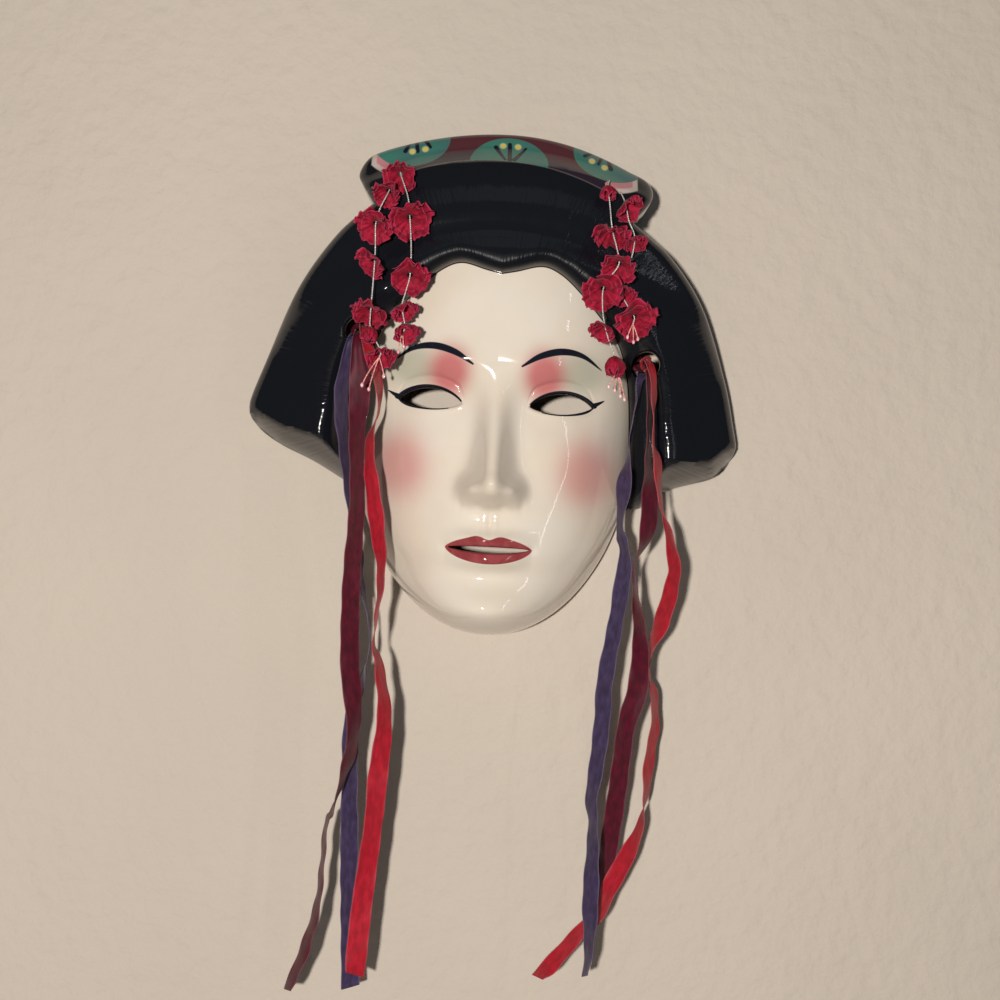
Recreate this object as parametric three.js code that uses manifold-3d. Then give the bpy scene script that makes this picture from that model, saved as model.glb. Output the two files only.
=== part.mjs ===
// Geisha wall mask: a hollow glazed ceramic shell with a face, a black coiffure with two flared
// wings, and a bun under a painted band. Three satin ribbons hang from a hole at each temple,
// and four threads of small fabric blossoms hang from the ends of the band.
// Millimetres, +Z up. The mask faces -Y, its flat back rim lies on the wall plane Y = 0, and the
// origin is the hanging point on the back, at the top of the rim.
import * as THREE from 'three';
import { mergeVertices } from 'three/addons/utils/BufferGeometryUtils.js';
import Module from 'manifold-3d';

// Driving dimensions. Every place on the mask is given as [x, z], with z = 0 at the middle of
// the face, and depths are measured out from the wall.
const hangingHeight = 121.5;
const wallThickness = 5;
const fitGap = 0.35;

// The two halves of the outline differ a little, as the casting does. The left one is mirrored.
const crown = { top: 125.2, end: 58 };
const outline = {
  right: {
    crownRadius: 113,
    corner: [[66.2, 106.5], [69.8, 102], [69.8, 97], [66.7, 91.5], [60.4, 84]],
    shoulder: [[70.4, 76.4], [79.4, 69.5], [92.7, 54.2], [102.3, 37.8], [112.3, 11.2]],
    tip: [[117.6, -10], [119.2, -17.8], [118.4, -25.4]],
    underside: [[110.7, -34], [89.5, -41], [74.5, -51]],
    jawStart: -52.5,
  },
  left: {
    crownRadius: 165,
    corner: [[66.3, 110.9], [71, 103], [69, 97.2], [62.7, 87]],
    shoulder: [[68.4, 82.5], [79, 73], [93.5, 54.6], [103.8, 36.9], [114.3, 11.6]],
    tip: [[120.8, -4.9], [121.8, -11.3], [119.4, -19.3]],
    underside: [[107.7, -27.7], [90.5, -35.4], [75.5, -43.7]],
    jawStart: -47,
  },
};

const hair = {
  line: [[0, 55.5], [7, 57], [19, 60], [28.4, 56.5], [38, 48.4], [46.7, 39.5], [56, 29.5],
    [61.5, 17], [64.8, 1], [66.5, -22], [67.2, -45.6], [67.6, -57]],
  shoulder: 4,
  crown: { depth: 68, centre: 47, halfWidth: 118, halfHeight: 97, sideBend: 2.2, topBend: 2.6 },
  bunValley: { line: 76, radius: 130, depth: 2.2, reach: 7 },
  band: { line: 108, radius: 190, slope: 0.75 },
  wing: { depth: 44, at: 78, fall: 0.5, blend: 8 },
  channel: { step: 7, lowest: 24, rise: 0.9, lowBlend: 6, blend: 5 },
  underside: { foot: 7, slope: 2.6, blend: 3 },
  rim: { round: 6, roundMost: 0.7 },
};

// The face is drawn on the usual canon: brows, eyes, nose and mouth at set shares of the height.
const face = {
  jaw: { centre: -20, halfWidth: 69.5, height: 98, widensOver: 40 },
  halfWidth: 72,
  sideBend: 2.3,
  eyeHeight: -5,
  eyeSpacing: 62,
  mouth: { height: -74, curve: 0.0016 },
  profile: [[-130, 57], [-118, 57.5], [-99, 58.5], [-86, 55.5], [-74, 59], [-60, 58.5], [-51, 57.5],
    [-30, 57.5], [-5, 58], [14, 61.5], [35, 61.8], [56, 60], [90, 52], [140, 35]],
  chinRound: 17,
  noseHeights: [[-60, 0], [-55.5, 2], [-52, 11], [-48, 20], [-43, 23], [-36, 19.5], [-24, 13.5],
    [-8, 6.5], [4, 2.5], [14, 0]],
  noseWidths: [[-60, 8], [-48, 9], [-42, 8.5], [-24, 7.5], [-8, 7.5], [14, 10]],
  noseBend: 2.2,
  // Soft forms: the place of the middle, the reach across and up, and how far it stands out.
  sideForms: {
    brow: { x: 27, z: 14, across: 19, up: 7, rise: 2.5 },
    socket: { x: 31, z: -4, across: 17, up: 10, rise: -8 },
    eyeball: { x: 31, z: -6, across: 12, up: 7.5, rise: 6 },
    cheekbone: { x: 42, z: -30, across: 17, up: 15, rise: 3 },
    nostrilWing: { x: 10.8, z: -46, across: 4.8, up: 5.8, rise: 8.5 },
  },
  chin: { x: 0, z: -103, across: 14, up: 9, rise: 3 },
  upperLip: { above: 4.6, up: 4.2, halfWidth: 24, rise: 5 },
  lowerLip: { above: -5.2, up: 4.6, halfWidth: 21, rise: 5.5 },
};

const eyeHole = { width: 30, above: 6.2, below: 3.6, tilt: 3, bend: 0.8 };
const mouthSlot = { width: 38, height: 3, bend: 0.6 };
const templeHole = { right: [70.5, 17], left: [-66.5, 26], radius: 6.5 };
const hanger = {
  halfWidth: 15,
  top: 121,
  bottom: 106.5,
  cornerRadius: 6,
  thickness: 5,
  holeHeight: 112.5,
  holeRadius: 2.5,
};

// Ribbons and threads are routes of [x, depth, z] points. On a ribbon a fourth number is the
// turn of its flat side in degrees: 0 lies flat to the front and 90 stands edge on.
const ribbon = {
  width: 10,
  gathered: { width: 4, until: 20, openBy: 44 },
  thickness: 0.8,
  cut: 4,
  steps: 28,
};
const ribbonRoutes = {
  left_violet: [
    [-68, 34.5, 23.9, 10], [-68.2, 51.3, 23.5, 10], [-70.3, 55, 17, 35], [-73, 48, -6.5, 55],
    [-71.5, 43, -25.5, 65], [-66.5, 38, -58.5, 70], [-62, 37, -82.5, 75], [-60.5, 36, -94, 85],
    [-55.5, 35, -116.5, 92], [-56.5, 33, -133.5, 96], [-62, 30, -160.5, 140],
    [-61.5, 29, -195, 145], [-60.5, 27, -221, 155], [-60, 26, -249.5, 140],
    [-58, 25, -274, 155], [-57, 24, -292.5, 155],
  ],
  left_burgundy: [
    [-66, 34.5, 26, 10], [-66, 52, 25.5, 10], [-66, 58, 18.5, 25], [-64, 56, -2, 20],
    [-64.5, 55, -25.5, 50], [-63, 54, -54, 50], [-64, 51, -91.5, 40], [-63, 48, -130, 35],
    [-60.5, 46, -149, 40], [-59.5, 45, -163.5, 60], [-61.5, 43, -178, 60], [-68, 41, -202.5, 98],
    [-71, 41, -210, 105], [-73.5, 39, -247, 110], [-79, 37, -271.5, 120], [-86.5, 36, -291.5, 110],
  ],
  left_red: [
    [-64.5, 34.5, 28.5, 10], [-64, 53, 28, 10], [-61, 61, 19, 40], [-55, 62, 0.5, 75],
    [-54.5, 62, -11.5, 88], [-58, 61, -30, 120], [-53, 60, -62.5, 140], [-49.5, 57, -88.5, 115],
    [-51.5, 54, -119, 92], [-49, 53, -128.5, 75], [-45.5, 52, -147.5, 60], [-45, 51, -162, 45],
    [-47, 49, -186, 25], [-48, 48, -205, 35], [-51.5, 45, -244, 20], [-53, 44, -268.5, 15],
    [-53.5, 43, -280.5, 30],
  ],
  right_violet: [
    [69, 31, 13.5, 10], [68.5, 46, 12.8, 10], [67, 50, 7.5, 45], [67, 47, 0.5, 75], [65, 44, -14, 80],
    [64, 44, -28, 95], [63, 44, -39, 130], [62, 44, -59.5, 100], [63.5, 44, -66.5, 120],
    [65.5, 42.5, -73.5, 115], [65, 42, -85.5, 135], [63, 43, -104.5, 130], [59, 44, -133.5, 135],
    [58.5, 44, -153, 135], [57, 44, -172, 130], [55, 43, -191, 120], [56.5, 43, -205.5, 115],
    [57, 43, -239, 135], [57.5, 43, -263, 110], [56.5, 43, -275.5, 100],
  ],
  right_burgundy: [
    [71, 31, 16.5, 10], [71, 49, 16, 10], [71.5, 55, 9.5, 50], [71.5, 55, -4.5, 80], [73, 54, -29.5, 70],
    [75, 53, -47, 35], [74.5, 52, -63.5, 45], [70.5, 51, -75.5, 85], [70, 51, -85, 95],
    [74.5, 47, -113.5, 130], [74.5, 42, -138, 155], [70.5, 38, -155.5, 140],
    [68.5, 29, -188, 145], [67, 24, -208.5, 145], [65.5, 20, -229, 135], [64, 18, -244, 130],
    [63, 17, -257, 105],
  ],
  right_red: [
    [70.5, 31, 19, 10], [71, 51, 18.5, 10], [73, 60, 9.5, 55], [74, 61.5, -7, 80], [75, 60.5, -21, 80],
    [77, 60, -28, 65], [79.5, 59.5, -46.5, 75], [84, 58, -60.5, 105], [87.5, 55, -74.5, 120],
    [88, 53, -84, 120], [84.5, 44, -103.5, 125], [80, 37, -119, 92], [81, 33, -134, 80],
    [84, 30, -143.5, 70], [85, 27, -158.5, 60], [83.5, 26, -173.5, 55], [83, 26, -188, 65],
    [80, 29, -207.5, 110], [71.5, 31, -226.5, 140], [66.5, 32, -236.5, 130],
    [63.5, 32, -246.5, 115], [52.5, 31, -259.5, 115], [40.5, 30, -274.5, 125],
    [34, 30, -281, 110],
  ],
};
const knots = {
  left: { at: [-66.5, 30, 26], halfSize: [8.5, 4, 7] },
  right: { at: [70.5, 26.5, 17], halfSize: [8.5, 4, 7] },
};

const thread = { radius: 0.4, sides: 8, steps: 14 };
const threadRoutes = {
  left_inner: [
    [-50, 56.5, 103], [-49.7, 61, 99.3], [-45.5, 66, 88], [-43.9, 68.5, 78], [-42.5, 70, 64],
    [-42.3, 71, 51.1], [-44, 70.5, 43], [-45.3, 70, 36.7], [-43.5, 70, 27.3], [-44.5, 70, 24.5],
  ],
  left_outer: [
    [-54, 55.5, 98], [-54.6, 62.5, 90.8], [-58, 66, 82], [-59.5, 68, 74.5], [-59.2, 68.5, 66],
    [-59, 69, 57.9], [-59.3, 69, 46], [-59.7, 69, 34.8], [-59.5, 69.5, 26], [-56.5, 70, 20],
    [-54, 70.5, 15], [-54.5, 71, 12.5],
  ],
  right_inner: [
    [48, 57, 102], [47.3, 62, 98.2], [48.5, 66, 87], [49.8, 68.5, 76.8], [52, 70, 69],
    [53.5, 71, 61.2], [50, 72, 55], [46.8, 72.5, 49.2], [47, 71.5, 40], [48.6, 70, 32.2],
    [51, 69.5, 25], [54, 69, 18.3], [55.5, 69, 11.5],
  ],
  right_outer: [
    [53.5, 56, 97], [55.6, 62, 90.7], [57.5, 65, 82], [60.5, 66.5, 73.5], [58.5, 66.5, 60],
    [56, 66.5, 48.7], [59, 67, 42], [62, 67.5, 37.5], [61.5, 68, 34],
  ],
};

// Blossoms on each thread: [place in its route, width, lean down, turn to the right]. The thread
// comes down behind a blossom's upper petals, through its middle and over its lower petals.
const blossomRows = {
  left_inner: [
    [1, 14.5, 40, -10], [3, 18.5, 38, 15], [5, 16.5, 38, 10], [7, 12.5, 50, 45], [8, 13, 55, 20],
  ],
  left_outer: [
    [1, 13.5, 42, -20], [3, 15.5, 38, -25], [5, 15, 42, -50], [7, 15.5, 60, -20],
    [8, 12, 70, 0], [10, 14, 55, 10],
  ],
  right_inner: [
    [1, 10.5, 70, 0], [3, 16.2, 68, -20], [5, 16, 45, -10], [7, 17, 38, -10], [9, 13.5, 55, -40],
    [11, 15.5, 70, 0],
  ],
  right_outer: [[1, 14.5, 42, 48], [3, 10.8, 60, 20], [5, 12, 42, 20], [7, 18, 38, 20]],
};
const blossom = { petals: 5, notch: 0.74, dish: 0.14, eye: 2.6, thickness: 0.9 };
const stamens = { count: 3, spread: 22, knotRadius: 1, root: 0.1, filament: 0.35, bead: 0.75 };
const stamenLengths = { left_inner: 8, left_outer: 13, right_inner: 9, right_outer: 8 };

const colours = {
  ivory: 0xe9e2d3,
  violet: 0x443a63,
  burgundy: 0x6a1230,
  red: 0xc01028,
  crimson: 0xb01535,
  silver: 0xd8d4d0,
  pink: 0xf0a8ae,
};

const wasm = await Module();
wasm.setup();

// Small helpers for curves and soft forms.
const { clamp, degToRad, lerp } = THREE.MathUtils;

function curveAt(points, at) {
  // A smooth curve through [at, value] points.
  const last = points.length - 1;
  if (at <= points[0][0]) return points[0][1];
  if (at >= points[last][0]) return points[last][1];
  const i = points.findIndex((point) => point[0] > at) - 1;
  const slope = (k) => {
    const before = points[Math.max(k - 1, 0)];
    const after = points[Math.min(k + 1, last)];
    return (after[1] - before[1]) / (after[0] - before[0]);
  };
  const span = points[i + 1][0] - points[i][0];
  const t = (at - points[i][0]) / span;
  const start = points[i][1] * (1 + 2 * t) * (1 - t) ** 2 + slope(i) * span * t * (1 - t) ** 2;
  const end = points[i + 1][1] * t * t * (3 - 2 * t) - slope(i + 1) * span * t * t * (1 - t);
  return start + end;
}

function bell(offset, reach) {
  return Math.exp(-((offset / reach) ** 2));
}

function quarterRound(share) {
  const t = 1 - clamp(share, 0, 1);
  return Math.sqrt(1 - t * t);
}

function softMax(a, b, reach) {
  const h = Math.max(reach - Math.abs(a - b), 0) / reach;
  return Math.max(a, b) + (h * h * reach) / 4;
}

function softMin(a, b, reach) {
  return -softMax(-a, -b, reach);
}

function mirrored(points) {
  return points.map(([x, z]) => [-x, z]);
}

function nearestOn(line, x, z) {
  // The nearest point of a line of [x, z] points, and its distance.
  let best = { distance: Infinity };
  for (let i = 0; i + 1 < line.length; i += 1) {
    const [ax, az] = line[i];
    const [dx, dz] = [line[i + 1][0] - ax, line[i + 1][1] - az];
    const t = clamp(((x - ax) * dx + (z - az) * dz) / (dx * dx + dz * dz), 0, 1);
    const distance = Math.hypot(x - ax - t * dx, z - az - t * dz);
    if (distance < best.distance) best = { distance, x: ax + t * dx, z: az + t * dz };
  }
  return best;
}

function isInside(loop, x, z) {
  let inside = false;
  for (let i = 0; i < loop.length; i += 1) {
    const [ax, az] = loop[i];
    const [bx, bz] = loop[(i + 1) % loop.length];
    if (az > z !== bz > z && x < ax + ((z - az) / (bz - az)) * (bx - ax)) inside = !inside;
  }
  return inside;
}

function splinePoints(points, count) {
  const curve = new THREE.SplineCurve(points.map(([x, z]) => new THREE.Vector2(x, z)));
  return curve.getSpacedPoints(count).map((point) => [point.x, point.y]);
}

// The outline seen from the front, one half at a time, from the top of the crown to the chin.
const ribCounts = { crown: 7, corner: 6, wing: 17, jaw: 13 };

function jawPoint(angle) {
  const { centre, halfWidth, height } = face.jaw;
  return [halfWidth * Math.cos(angle), centre + height * Math.sin(angle)];
}

function halfOutline({ crownRadius, corner, shoulder, tip, underside, jawStart }) {
  const crownHeight = (x) => crown.top - (x * x) / (2 * crownRadius);
  const top = [];
  for (let i = 0; i < ribCounts.crown; i += 1) {
    const x = (crown.end * i) / ribCounts.crown;
    top.push([x, crownHeight(x)]);
  }
  const bend = splinePoints([[crown.end, crownHeight(crown.end)], ...corner], ribCounts.corner);
  const notch = corner.at(-1);
  const wing = splinePoints([notch, ...shoulder, ...tip, ...underside], ribCounts.wing);
  const start = Math.asin((jawStart - face.jaw.centre) / face.jaw.height);
  const jaw = [];
  for (let i = 0; i <= ribCounts.jaw; i += 1) {
    jaw.push(jawPoint(lerp(start, -Math.PI / 2, i / ribCounts.jaw)));
  }
  jaw.at(-1)[0] = 0;
  return [...top, ...bend.slice(0, -1), ...wing, ...jaw];
}

const rightOutline = halfOutline(outline.right);
const leftOutline = mirrored(halfOutline(outline.left));
const outlineLoop = [...rightOutline, ...leftOutline.slice(1, -1).reverse()];
const closedOutline = [...outlineLoop, outlineLoop[0]];

const undersideLines = [
  [outline.right.tip.at(-1), ...outline.right.underside],
  mirrored([outline.left.tip.at(-1), ...outline.left.underside]),
];

// The opening in the hair that the face looks out of.
const rightHairline = splinePoints(hair.line, 30);
const hairline = [...mirrored(rightHairline).reverse(), ...rightHairline.slice(1)];
const faceOpening = [[-90, -60], ...hairline, [90, -60], [90, -140], [-90, -140]];

// Depths of the outer surface.
function formRise(form, x, z) {
  return form.rise * bell(x - form.x, form.across) * bell(z - form.z, form.up);
}

function lipRise(lip, x, aboveMouth) {
  const narrowing = clamp(1 - (x / lip.halfWidth) ** 2, 0, 1);
  return lip.rise * bell(aboveMouth - lip.above, lip.up) * narrowing;
}

function faceDepth(x, z, withLips = true) {
  const { jaw, mouth } = face;
  const side = Math.abs(x);
  const below = clamp((z - jaw.centre) / jaw.height, -1, 0);
  const width = jaw.halfWidth * Math.sqrt(1 - below * below);
  const reach = lerp(width, face.halfWidth, clamp((z - jaw.centre) / jaw.widensOver, 0, 1));
  if (side >= reach) return 0;
  const fromChin = z - (jaw.centre - jaw.height);
  let depth = curveAt(face.profile, z) * quarterRound(fromChin / face.chinRound);
  for (const form of Object.values(face.sideForms)) depth += formRise(form, side, z);
  depth += formRise(face.chin, x, z);
  const noseShare = (side / curveAt(face.noseWidths, z)) ** face.noseBend;
  depth += curveAt(face.noseHeights, z) * Math.exp(-noseShare);
  if (withLips) {
    const aboveMouth = z - mouth.height - mouth.curve * x * x;
    depth += lipRise(face.upperLip, x, aboveMouth) + lipRise(face.lowerLip, x, aboveMouth);
  }
  return depth * Math.sqrt(1 - (side / reach) ** face.sideBend);
}

function bandLineHeight(x) {
  return hair.band.line - (x * x) / (2 * hair.band.radius);
}

function hairDepth(x, z, edge) {
  const { crown, bunValley, band, wing, channel, underside, rim } = hair;
  const side = Math.abs(x);
  const fullness = 1 - (side / crown.halfWidth) ** crown.sideBend
    - (Math.abs(z - crown.centre) / crown.halfHeight) ** crown.topBend;
  let depth = crown.depth * Math.sqrt(Math.max(fullness, 0));
  const aboveValley = z - bunValley.line + (x * x) / (2 * bunValley.radius);
  depth -= bunValley.depth * bell(aboveValley, bunValley.reach);
  depth -= band.slope * Math.max(z - bandLineHeight(x), 0);
  depth = softMax(depth, wing.depth - wing.fall * Math.max(side - wing.at, 0), wing.blend);
  const byFace = softMax(faceDepth(edge.x, edge.z) + channel.step, channel.lowest, channel.lowBlend);
  depth = softMin(depth, byFace + channel.rise * edge.distance, channel.blend);
  const toRim = nearestOn(closedOutline, x, z).distance;
  const toUnderside = Math.min(...undersideLines.map((line) => nearestOn(line, x, z).distance));
  depth = softMin(depth, underside.foot + underside.slope * toUnderside, underside.blend);
  const round = Math.min(rim.round, rim.roundMost * depth);
  return depth - round * (1 - quarterRound(toRim / round));
}

function outerDepth(x, z, withLips = true) {
  if (!isInside(outlineLoop, x, z)) return 0;
  const skin = faceDepth(x, z, withLips);
  if (isInside(faceOpening, x, z)) return skin;
  const edge = nearestOn(hairline, x, z);
  return lerp(skin, hairDepth(x, z, edge), quarterRound(edge.distance / hair.shoulder));
}

const ballRings = { reaches: [0.5, 0.85, 1], turns: 12 };

function innerDepth(x, z) {
  // The height that a ball of the wall's thickness leaves under the outer surface.
  let depth = outerDepth(x, z, false) - wallThickness;
  for (const reach of ballRings.reaches) {
    const drop = wallThickness * Math.sqrt(1 - reach * reach);
    for (const [asideX, asideZ] of circlePoints([x, z], wallThickness * reach, ballRings.turns)) {
      depth = Math.min(depth, outerDepth(asideX, asideZ, false) - drop);
    }
  }
  return Math.max(depth, 0);
}

// Ribs run from a spine on the middle plane out to the outline.
const faceColumns = [0, 0.06, 0.13, 0.21, 0.3, 0.41, 0.53, 0.65, 0.77, 0.88, 0.95, 1];
const rimColumns = [1, 0.43, 0.24, 0.1, 0.03, 0];
const innerFaceColumns = [0, 0.21, 0.41, 0.65, 0.88, 1];
const innerHairColumns = [0.62, 0.93, 1];
const spineHeights = [[-118, -88], [-50, -42], [90, 44], [128, 50]];
const hairShares = { rim: { width: 14, most: 0.6 }, shoulder: 0.2 };
const jawShares = { first: 2, more: 3, most: 20 };
const innerShares = { face: 0.8, shoulder: { width: 5, most: 0.3 } };

const ribs = outlineLoop.map(([x, z], i) => {
  const count = rightOutline.length;
  const twin = i < count ? leftOutline[i] : rightOutline[outlineLoop.length - i];
  const row = i < count ? i : outlineLoop.length - i;
  const height = spineHeight((z + twin[1]) / 2);
  return { row, foot: [0, height], end: [x, z], length: Math.hypot(x, z - height) };
});

function spineHeight(z) {
  const i = clamp(spineHeights.findIndex((point) => point[0] > z), 1, spineHeights.length - 1);
  const [[fromZ, from], [toZ, to]] = [spineHeights[i - 1], spineHeights[i]];
  return lerp(from, to, clamp((z - fromZ) / (toZ - fromZ), 0, 1));
}

function alongRib(rib, distance) {
  const share = distance / rib.length;
  return [rib.end[0] * share, lerp(rib.foot[1], rib.end[1], share)];
}

function bisect(isBefore, low, high) {
  let [start, end] = [low, high];
  for (let i = 0; i < 24; i += 1) {
    const middle = (start + end) / 2;
    if (isBefore(middle)) start = middle;
    else end = middle;
  }
  return start;
}

function faceReach(rib) {
  // How far the face runs along a rib: to the hairline, or nearly to the jaw's edge.
  const jawRow = rib.row - (rightOutline.length - 1 - ribCounts.jaw);
  const fromJaw = Math.min(jawShares.first + jawShares.more * jawRow, jawShares.most);
  if (jawRow >= 0) return rib.length - fromJaw;
  return bisect((s) => isInside(faceOpening, ...alongRib(rib, s)), 0, rib.length);
}

function outerRib(rib) {
  const faceEnd = faceReach(rib);
  const hairLength = rib.length - faceEnd;
  const rimWidth = Math.min(hairShares.rim.width, hairShares.rim.most * hairLength);
  const shoulderEnd = faceEnd + Math.min(hair.shoulder, hairShares.shoulder * hairLength);
  const rimStart = rib.length - rimWidth;
  const distances = [
    ...faceColumns.map((share) => share * faceEnd),
    shoulderEnd,
    lerp(shoulderEnd, rimStart, 1 / 3),
    lerp(shoulderEnd, rimStart, 2 / 3),
    ...rimColumns.map((share) => rib.length - share * rimWidth),
  ];
  return distances.map((distance, i) => {
    const [x, z] = alongRib(rib, distance);
    return new THREE.Vector3(x, i === distances.length - 1 ? 0 : -outerDepth(x, z), z);
  });
}

function innerRib(rib) {
  const isHollow = (s) => innerDepth(...alongRib(rib, s)) > 0;
  let rim = rib.length;
  while (!isHollow(rim - 1)) rim -= 1;
  const reach = bisect(isHollow, rim - 1, rim);
  const { face: faceShare, shoulder } = innerShares;
  const faceEnd = Math.min(faceReach(rib), faceShare * reach);
  const rest = reach - faceEnd;
  const distances = [
    ...innerFaceColumns.map((share) => share * faceEnd),
    faceEnd + Math.min(shoulder.width, shoulder.most * rest),
    ...innerHairColumns.map((share) => faceEnd + share * rest),
  ];
  return distances.map((distance, i) => {
    const [x, z] = alongRib(rib, distance);
    return new THREE.Vector3(x, i === distances.length - 1 ? 0 : -innerDepth(x, z), z);
  });
}

function pushQuad(triangles, a, b, c, d) {
  triangles.push([a, b, c], [a, c, d]);
}

function closedGeometry(triangles) {
  // A geometry of the triangles that have an area, with their shared corners merged.
  const corners = triangles.filter(([a, b, c]) => {
    const near = (p, q) => p.distanceTo(q) < 2e-3;
    return !near(a, b) && !near(b, c) && !near(c, a);
  }).flat();
  const geometry = new THREE.BufferGeometry().setFromPoints(corners);
  return mergeVertices(geometry, 1e-3);
}

function toSolid(geometry) {
  const bare = geometry.clone();
  bare.deleteAttribute('normal');
  bare.deleteAttribute('uv');
  const merged = mergeVertices(bare, 1e-3);
  const index = [...merged.index.array];
  const triVerts = [];
  for (let i = 0; i < index.length; i += 3) {
    const [a, b, c] = index.slice(i, i + 3);
    if (a !== b && b !== c && c !== a) triVerts.push(a, b, c);
  }
  return new wasm.Manifold(new wasm.Mesh({
    numProp: 3,
    vertProperties: new Float32Array(merged.attributes.position.array),
    triVerts: new Uint32Array(triVerts),
  }));
}

function toGeometry(solid) {
  const mesh = solid.getMesh();
  const geometry = new THREE.BufferGeometry();
  geometry.setAttribute('position', new THREE.BufferAttribute(mesh.vertProperties, 3));
  geometry.setIndex(new THREE.BufferAttribute(mesh.triVerts, 1));
  geometry.computeVertexNormals();
  return geometry;
}

function prism(points, depth, start = 0) {
  // A prism of an [x, z] outline, standing out from the wall.
  const shape = new THREE.Shape(points.map(([x, z]) => new THREE.Vector2(x, z)));
  const geometry = new THREE.ExtrudeGeometry(shape, { depth, bevelEnabled: false });
  geometry.rotateX(Math.PI / 2);
  geometry.translate(0, -start, 0);
  return geometry;
}

function circlePoints([x, z], radius, count) {
  return Array.from({ length: count }, (_, i) => {
    const angle = (i / count) * 2 * Math.PI;
    return [x + radius * Math.cos(angle), z + radius * Math.sin(angle)];
  });
}

function eyePoints(side) {
  // An almond with its outer corner a little higher.
  const { width, above, below, tilt, bend } = eyeHole;
  const steps = 9;
  const lid = (i, height) => {
    const across = -1 + (2 * i) / steps;
    return [(across * width) / 2, height * (1 - across * across) ** bend];
  };
  const almond = [];
  for (let i = 0; i < steps; i += 1) almond.push(lid(i, -below));
  for (let i = steps; i > 0; i -= 1) almond.push(lid(i, above));
  const [cos, sin] = [Math.cos(degToRad(tilt)), Math.sin(degToRad(tilt))];
  return almond.map(([x, z]) => [
    side * (face.eyeSpacing / 2 + x * cos - z * sin),
    face.eyeHeight + x * sin + z * cos,
  ]);
}

function mouthPoints() {
  const { width, height, bend } = mouthSlot;
  const steps = 8;
  const lip = (i, raise) => {
    const across = -1 + (2 * i) / steps;
    const x = (across * width) / 2;
    const middle = face.mouth.height + face.mouth.curve * x * x;
    return [x, middle + raise * (1 - across * across) ** bend];
  };
  const slot = [];
  for (let i = 0; i < steps; i += 1) slot.push(lip(i, -height / 2));
  for (let i = steps; i > 0; i -= 1) slot.push(lip(i, height / 2));
  return slot;
}

function hangerPoints() {
  const { halfWidth, top, bottom, cornerRadius } = hanger;
  const centre = halfWidth - cornerRadius;
  const points = [[-halfWidth, top]];
  for (const [centreX, from] of [[-centre, 180], [centre, 270]]) {
    for (let i = 0; i <= 3; i += 1) {
      const angle = degToRad(from + 30 * i);
      points.push([
        centreX + cornerRadius * Math.cos(angle),
        bottom + cornerRadius + cornerRadius * Math.sin(angle),
      ]);
    }
  }
  points.push([halfWidth, top]);
  return points;
}

function makeMaskShell() {
  const triangles = [];
  const outer = ribs.map(outerRib);
  const inner = ribs.map(innerRib);
  ribs.forEach((_, i) => {
    const next = (i + 1) % ribs.length;
    for (let j = 0; j + 1 < outer[i].length; j += 1) {
      pushQuad(triangles, outer[i][j], outer[next][j], outer[next][j + 1], outer[i][j + 1]);
    }
    for (let j = 0; j + 1 < inner[i].length; j += 1) {
      pushQuad(triangles, inner[i][j], inner[i][j + 1], inner[next][j + 1], inner[next][j]);
    }
    const [outerLast, innerLast] = [outer[i].length - 1, inner[i].length - 1];
    pushQuad(
      triangles,
      outer[i][outerLast],
      outer[next][outerLast],
      inner[next][innerLast],
      inner[i][innerLast],
    );
  });
  const pastFront = 120;
  const pastPlate = hanger.thickness + 3;
  const cuts = [
    [eyePoints(1), pastFront],
    [eyePoints(-1), pastFront],
    [mouthPoints(), pastFront],
    [circlePoints(templeHole.right, templeHole.radius, 12), pastFront],
    [circlePoints(templeHole.left, templeHole.radius, 12), pastFront],
    [circlePoints([0, hanger.holeHeight], hanger.holeRadius, 12), pastPlate],
  ];
  let solid = toSolid(closedGeometry(triangles));
  solid = solid.add(toSolid(prism(hangerPoints(), hanger.thickness)));
  cuts.forEach(([points, depth]) => {
    solid = solid.subtract(toSolid(prism(points, depth, -1)));
  });
  return toGeometry(solid);
}

// Ribbons, the knots that hold them behind their holes, and the threads of blossoms.
function routeCurve(route) {
  const points = route.map(([x, depth, z]) => new THREE.Vector3(x, -depth, z));
  return new THREE.CatmullRomCurve3(points, false, 'catmullrom', 0.5);
}

function makeRibbon(route) {
  const { width, gathered, thickness, cut, steps } = ribbon;
  const curve = routeCurve(route);
  const length = curve.getLength();
  const turns = route.map((point, i) => [i, point[3]]);
  const triangles = [];
  const rings = [];
  for (let i = 0; i <= steps; i += 1) {
    const t = curve.getUtoTmapping(i / steps);
    const centre = curve.getPoint(t);
    const along = curve.getTangent(t);
    const turn = degToRad(curveAt(turns, t * (route.length - 1)));
    const across = new THREE.Vector3(1, 0, 0).addScaledVector(along, -along.x).normalize();
    across.applyAxisAngle(along, -turn);
    const front = new THREE.Vector3().crossVectors(across, along);
    const run = (i / steps) * length - gathered.until;
    const opened = clamp(run / (gathered.openBy - gathered.until), 0, 1);
    const halfWidth = lerp(gathered.width, width, opened) / 2;
    const slant = i === steps ? cut / 2 : 0;
    const corner = (side, level) => centre.clone()
      .addScaledVector(across, side * halfWidth)
      .addScaledVector(front, (level * thickness) / 2)
      .addScaledVector(along, side * slant);
    rings.push([corner(-1, -1), corner(1, -1), corner(1, 1), corner(-1, 1)]);
  }
  rings.slice(1).forEach((ring, i) => {
    // The two broad sides are split along the same line, so that a twist keeps its thickness.
    const [a, b, c, d] = rings[i];
    pushQuad(triangles, a, ring[0], ring[1], b);
    pushQuad(triangles, b, ring[1], ring[2], c);
    pushQuad(triangles, d, c, ring[2], ring[3]);
    pushQuad(triangles, d, ring[3], ring[0], a);
  });
  pushQuad(triangles, ...rings[0]);
  pushQuad(triangles, ...[...rings[steps]].reverse());
  return closedGeometry(triangles);
}

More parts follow.
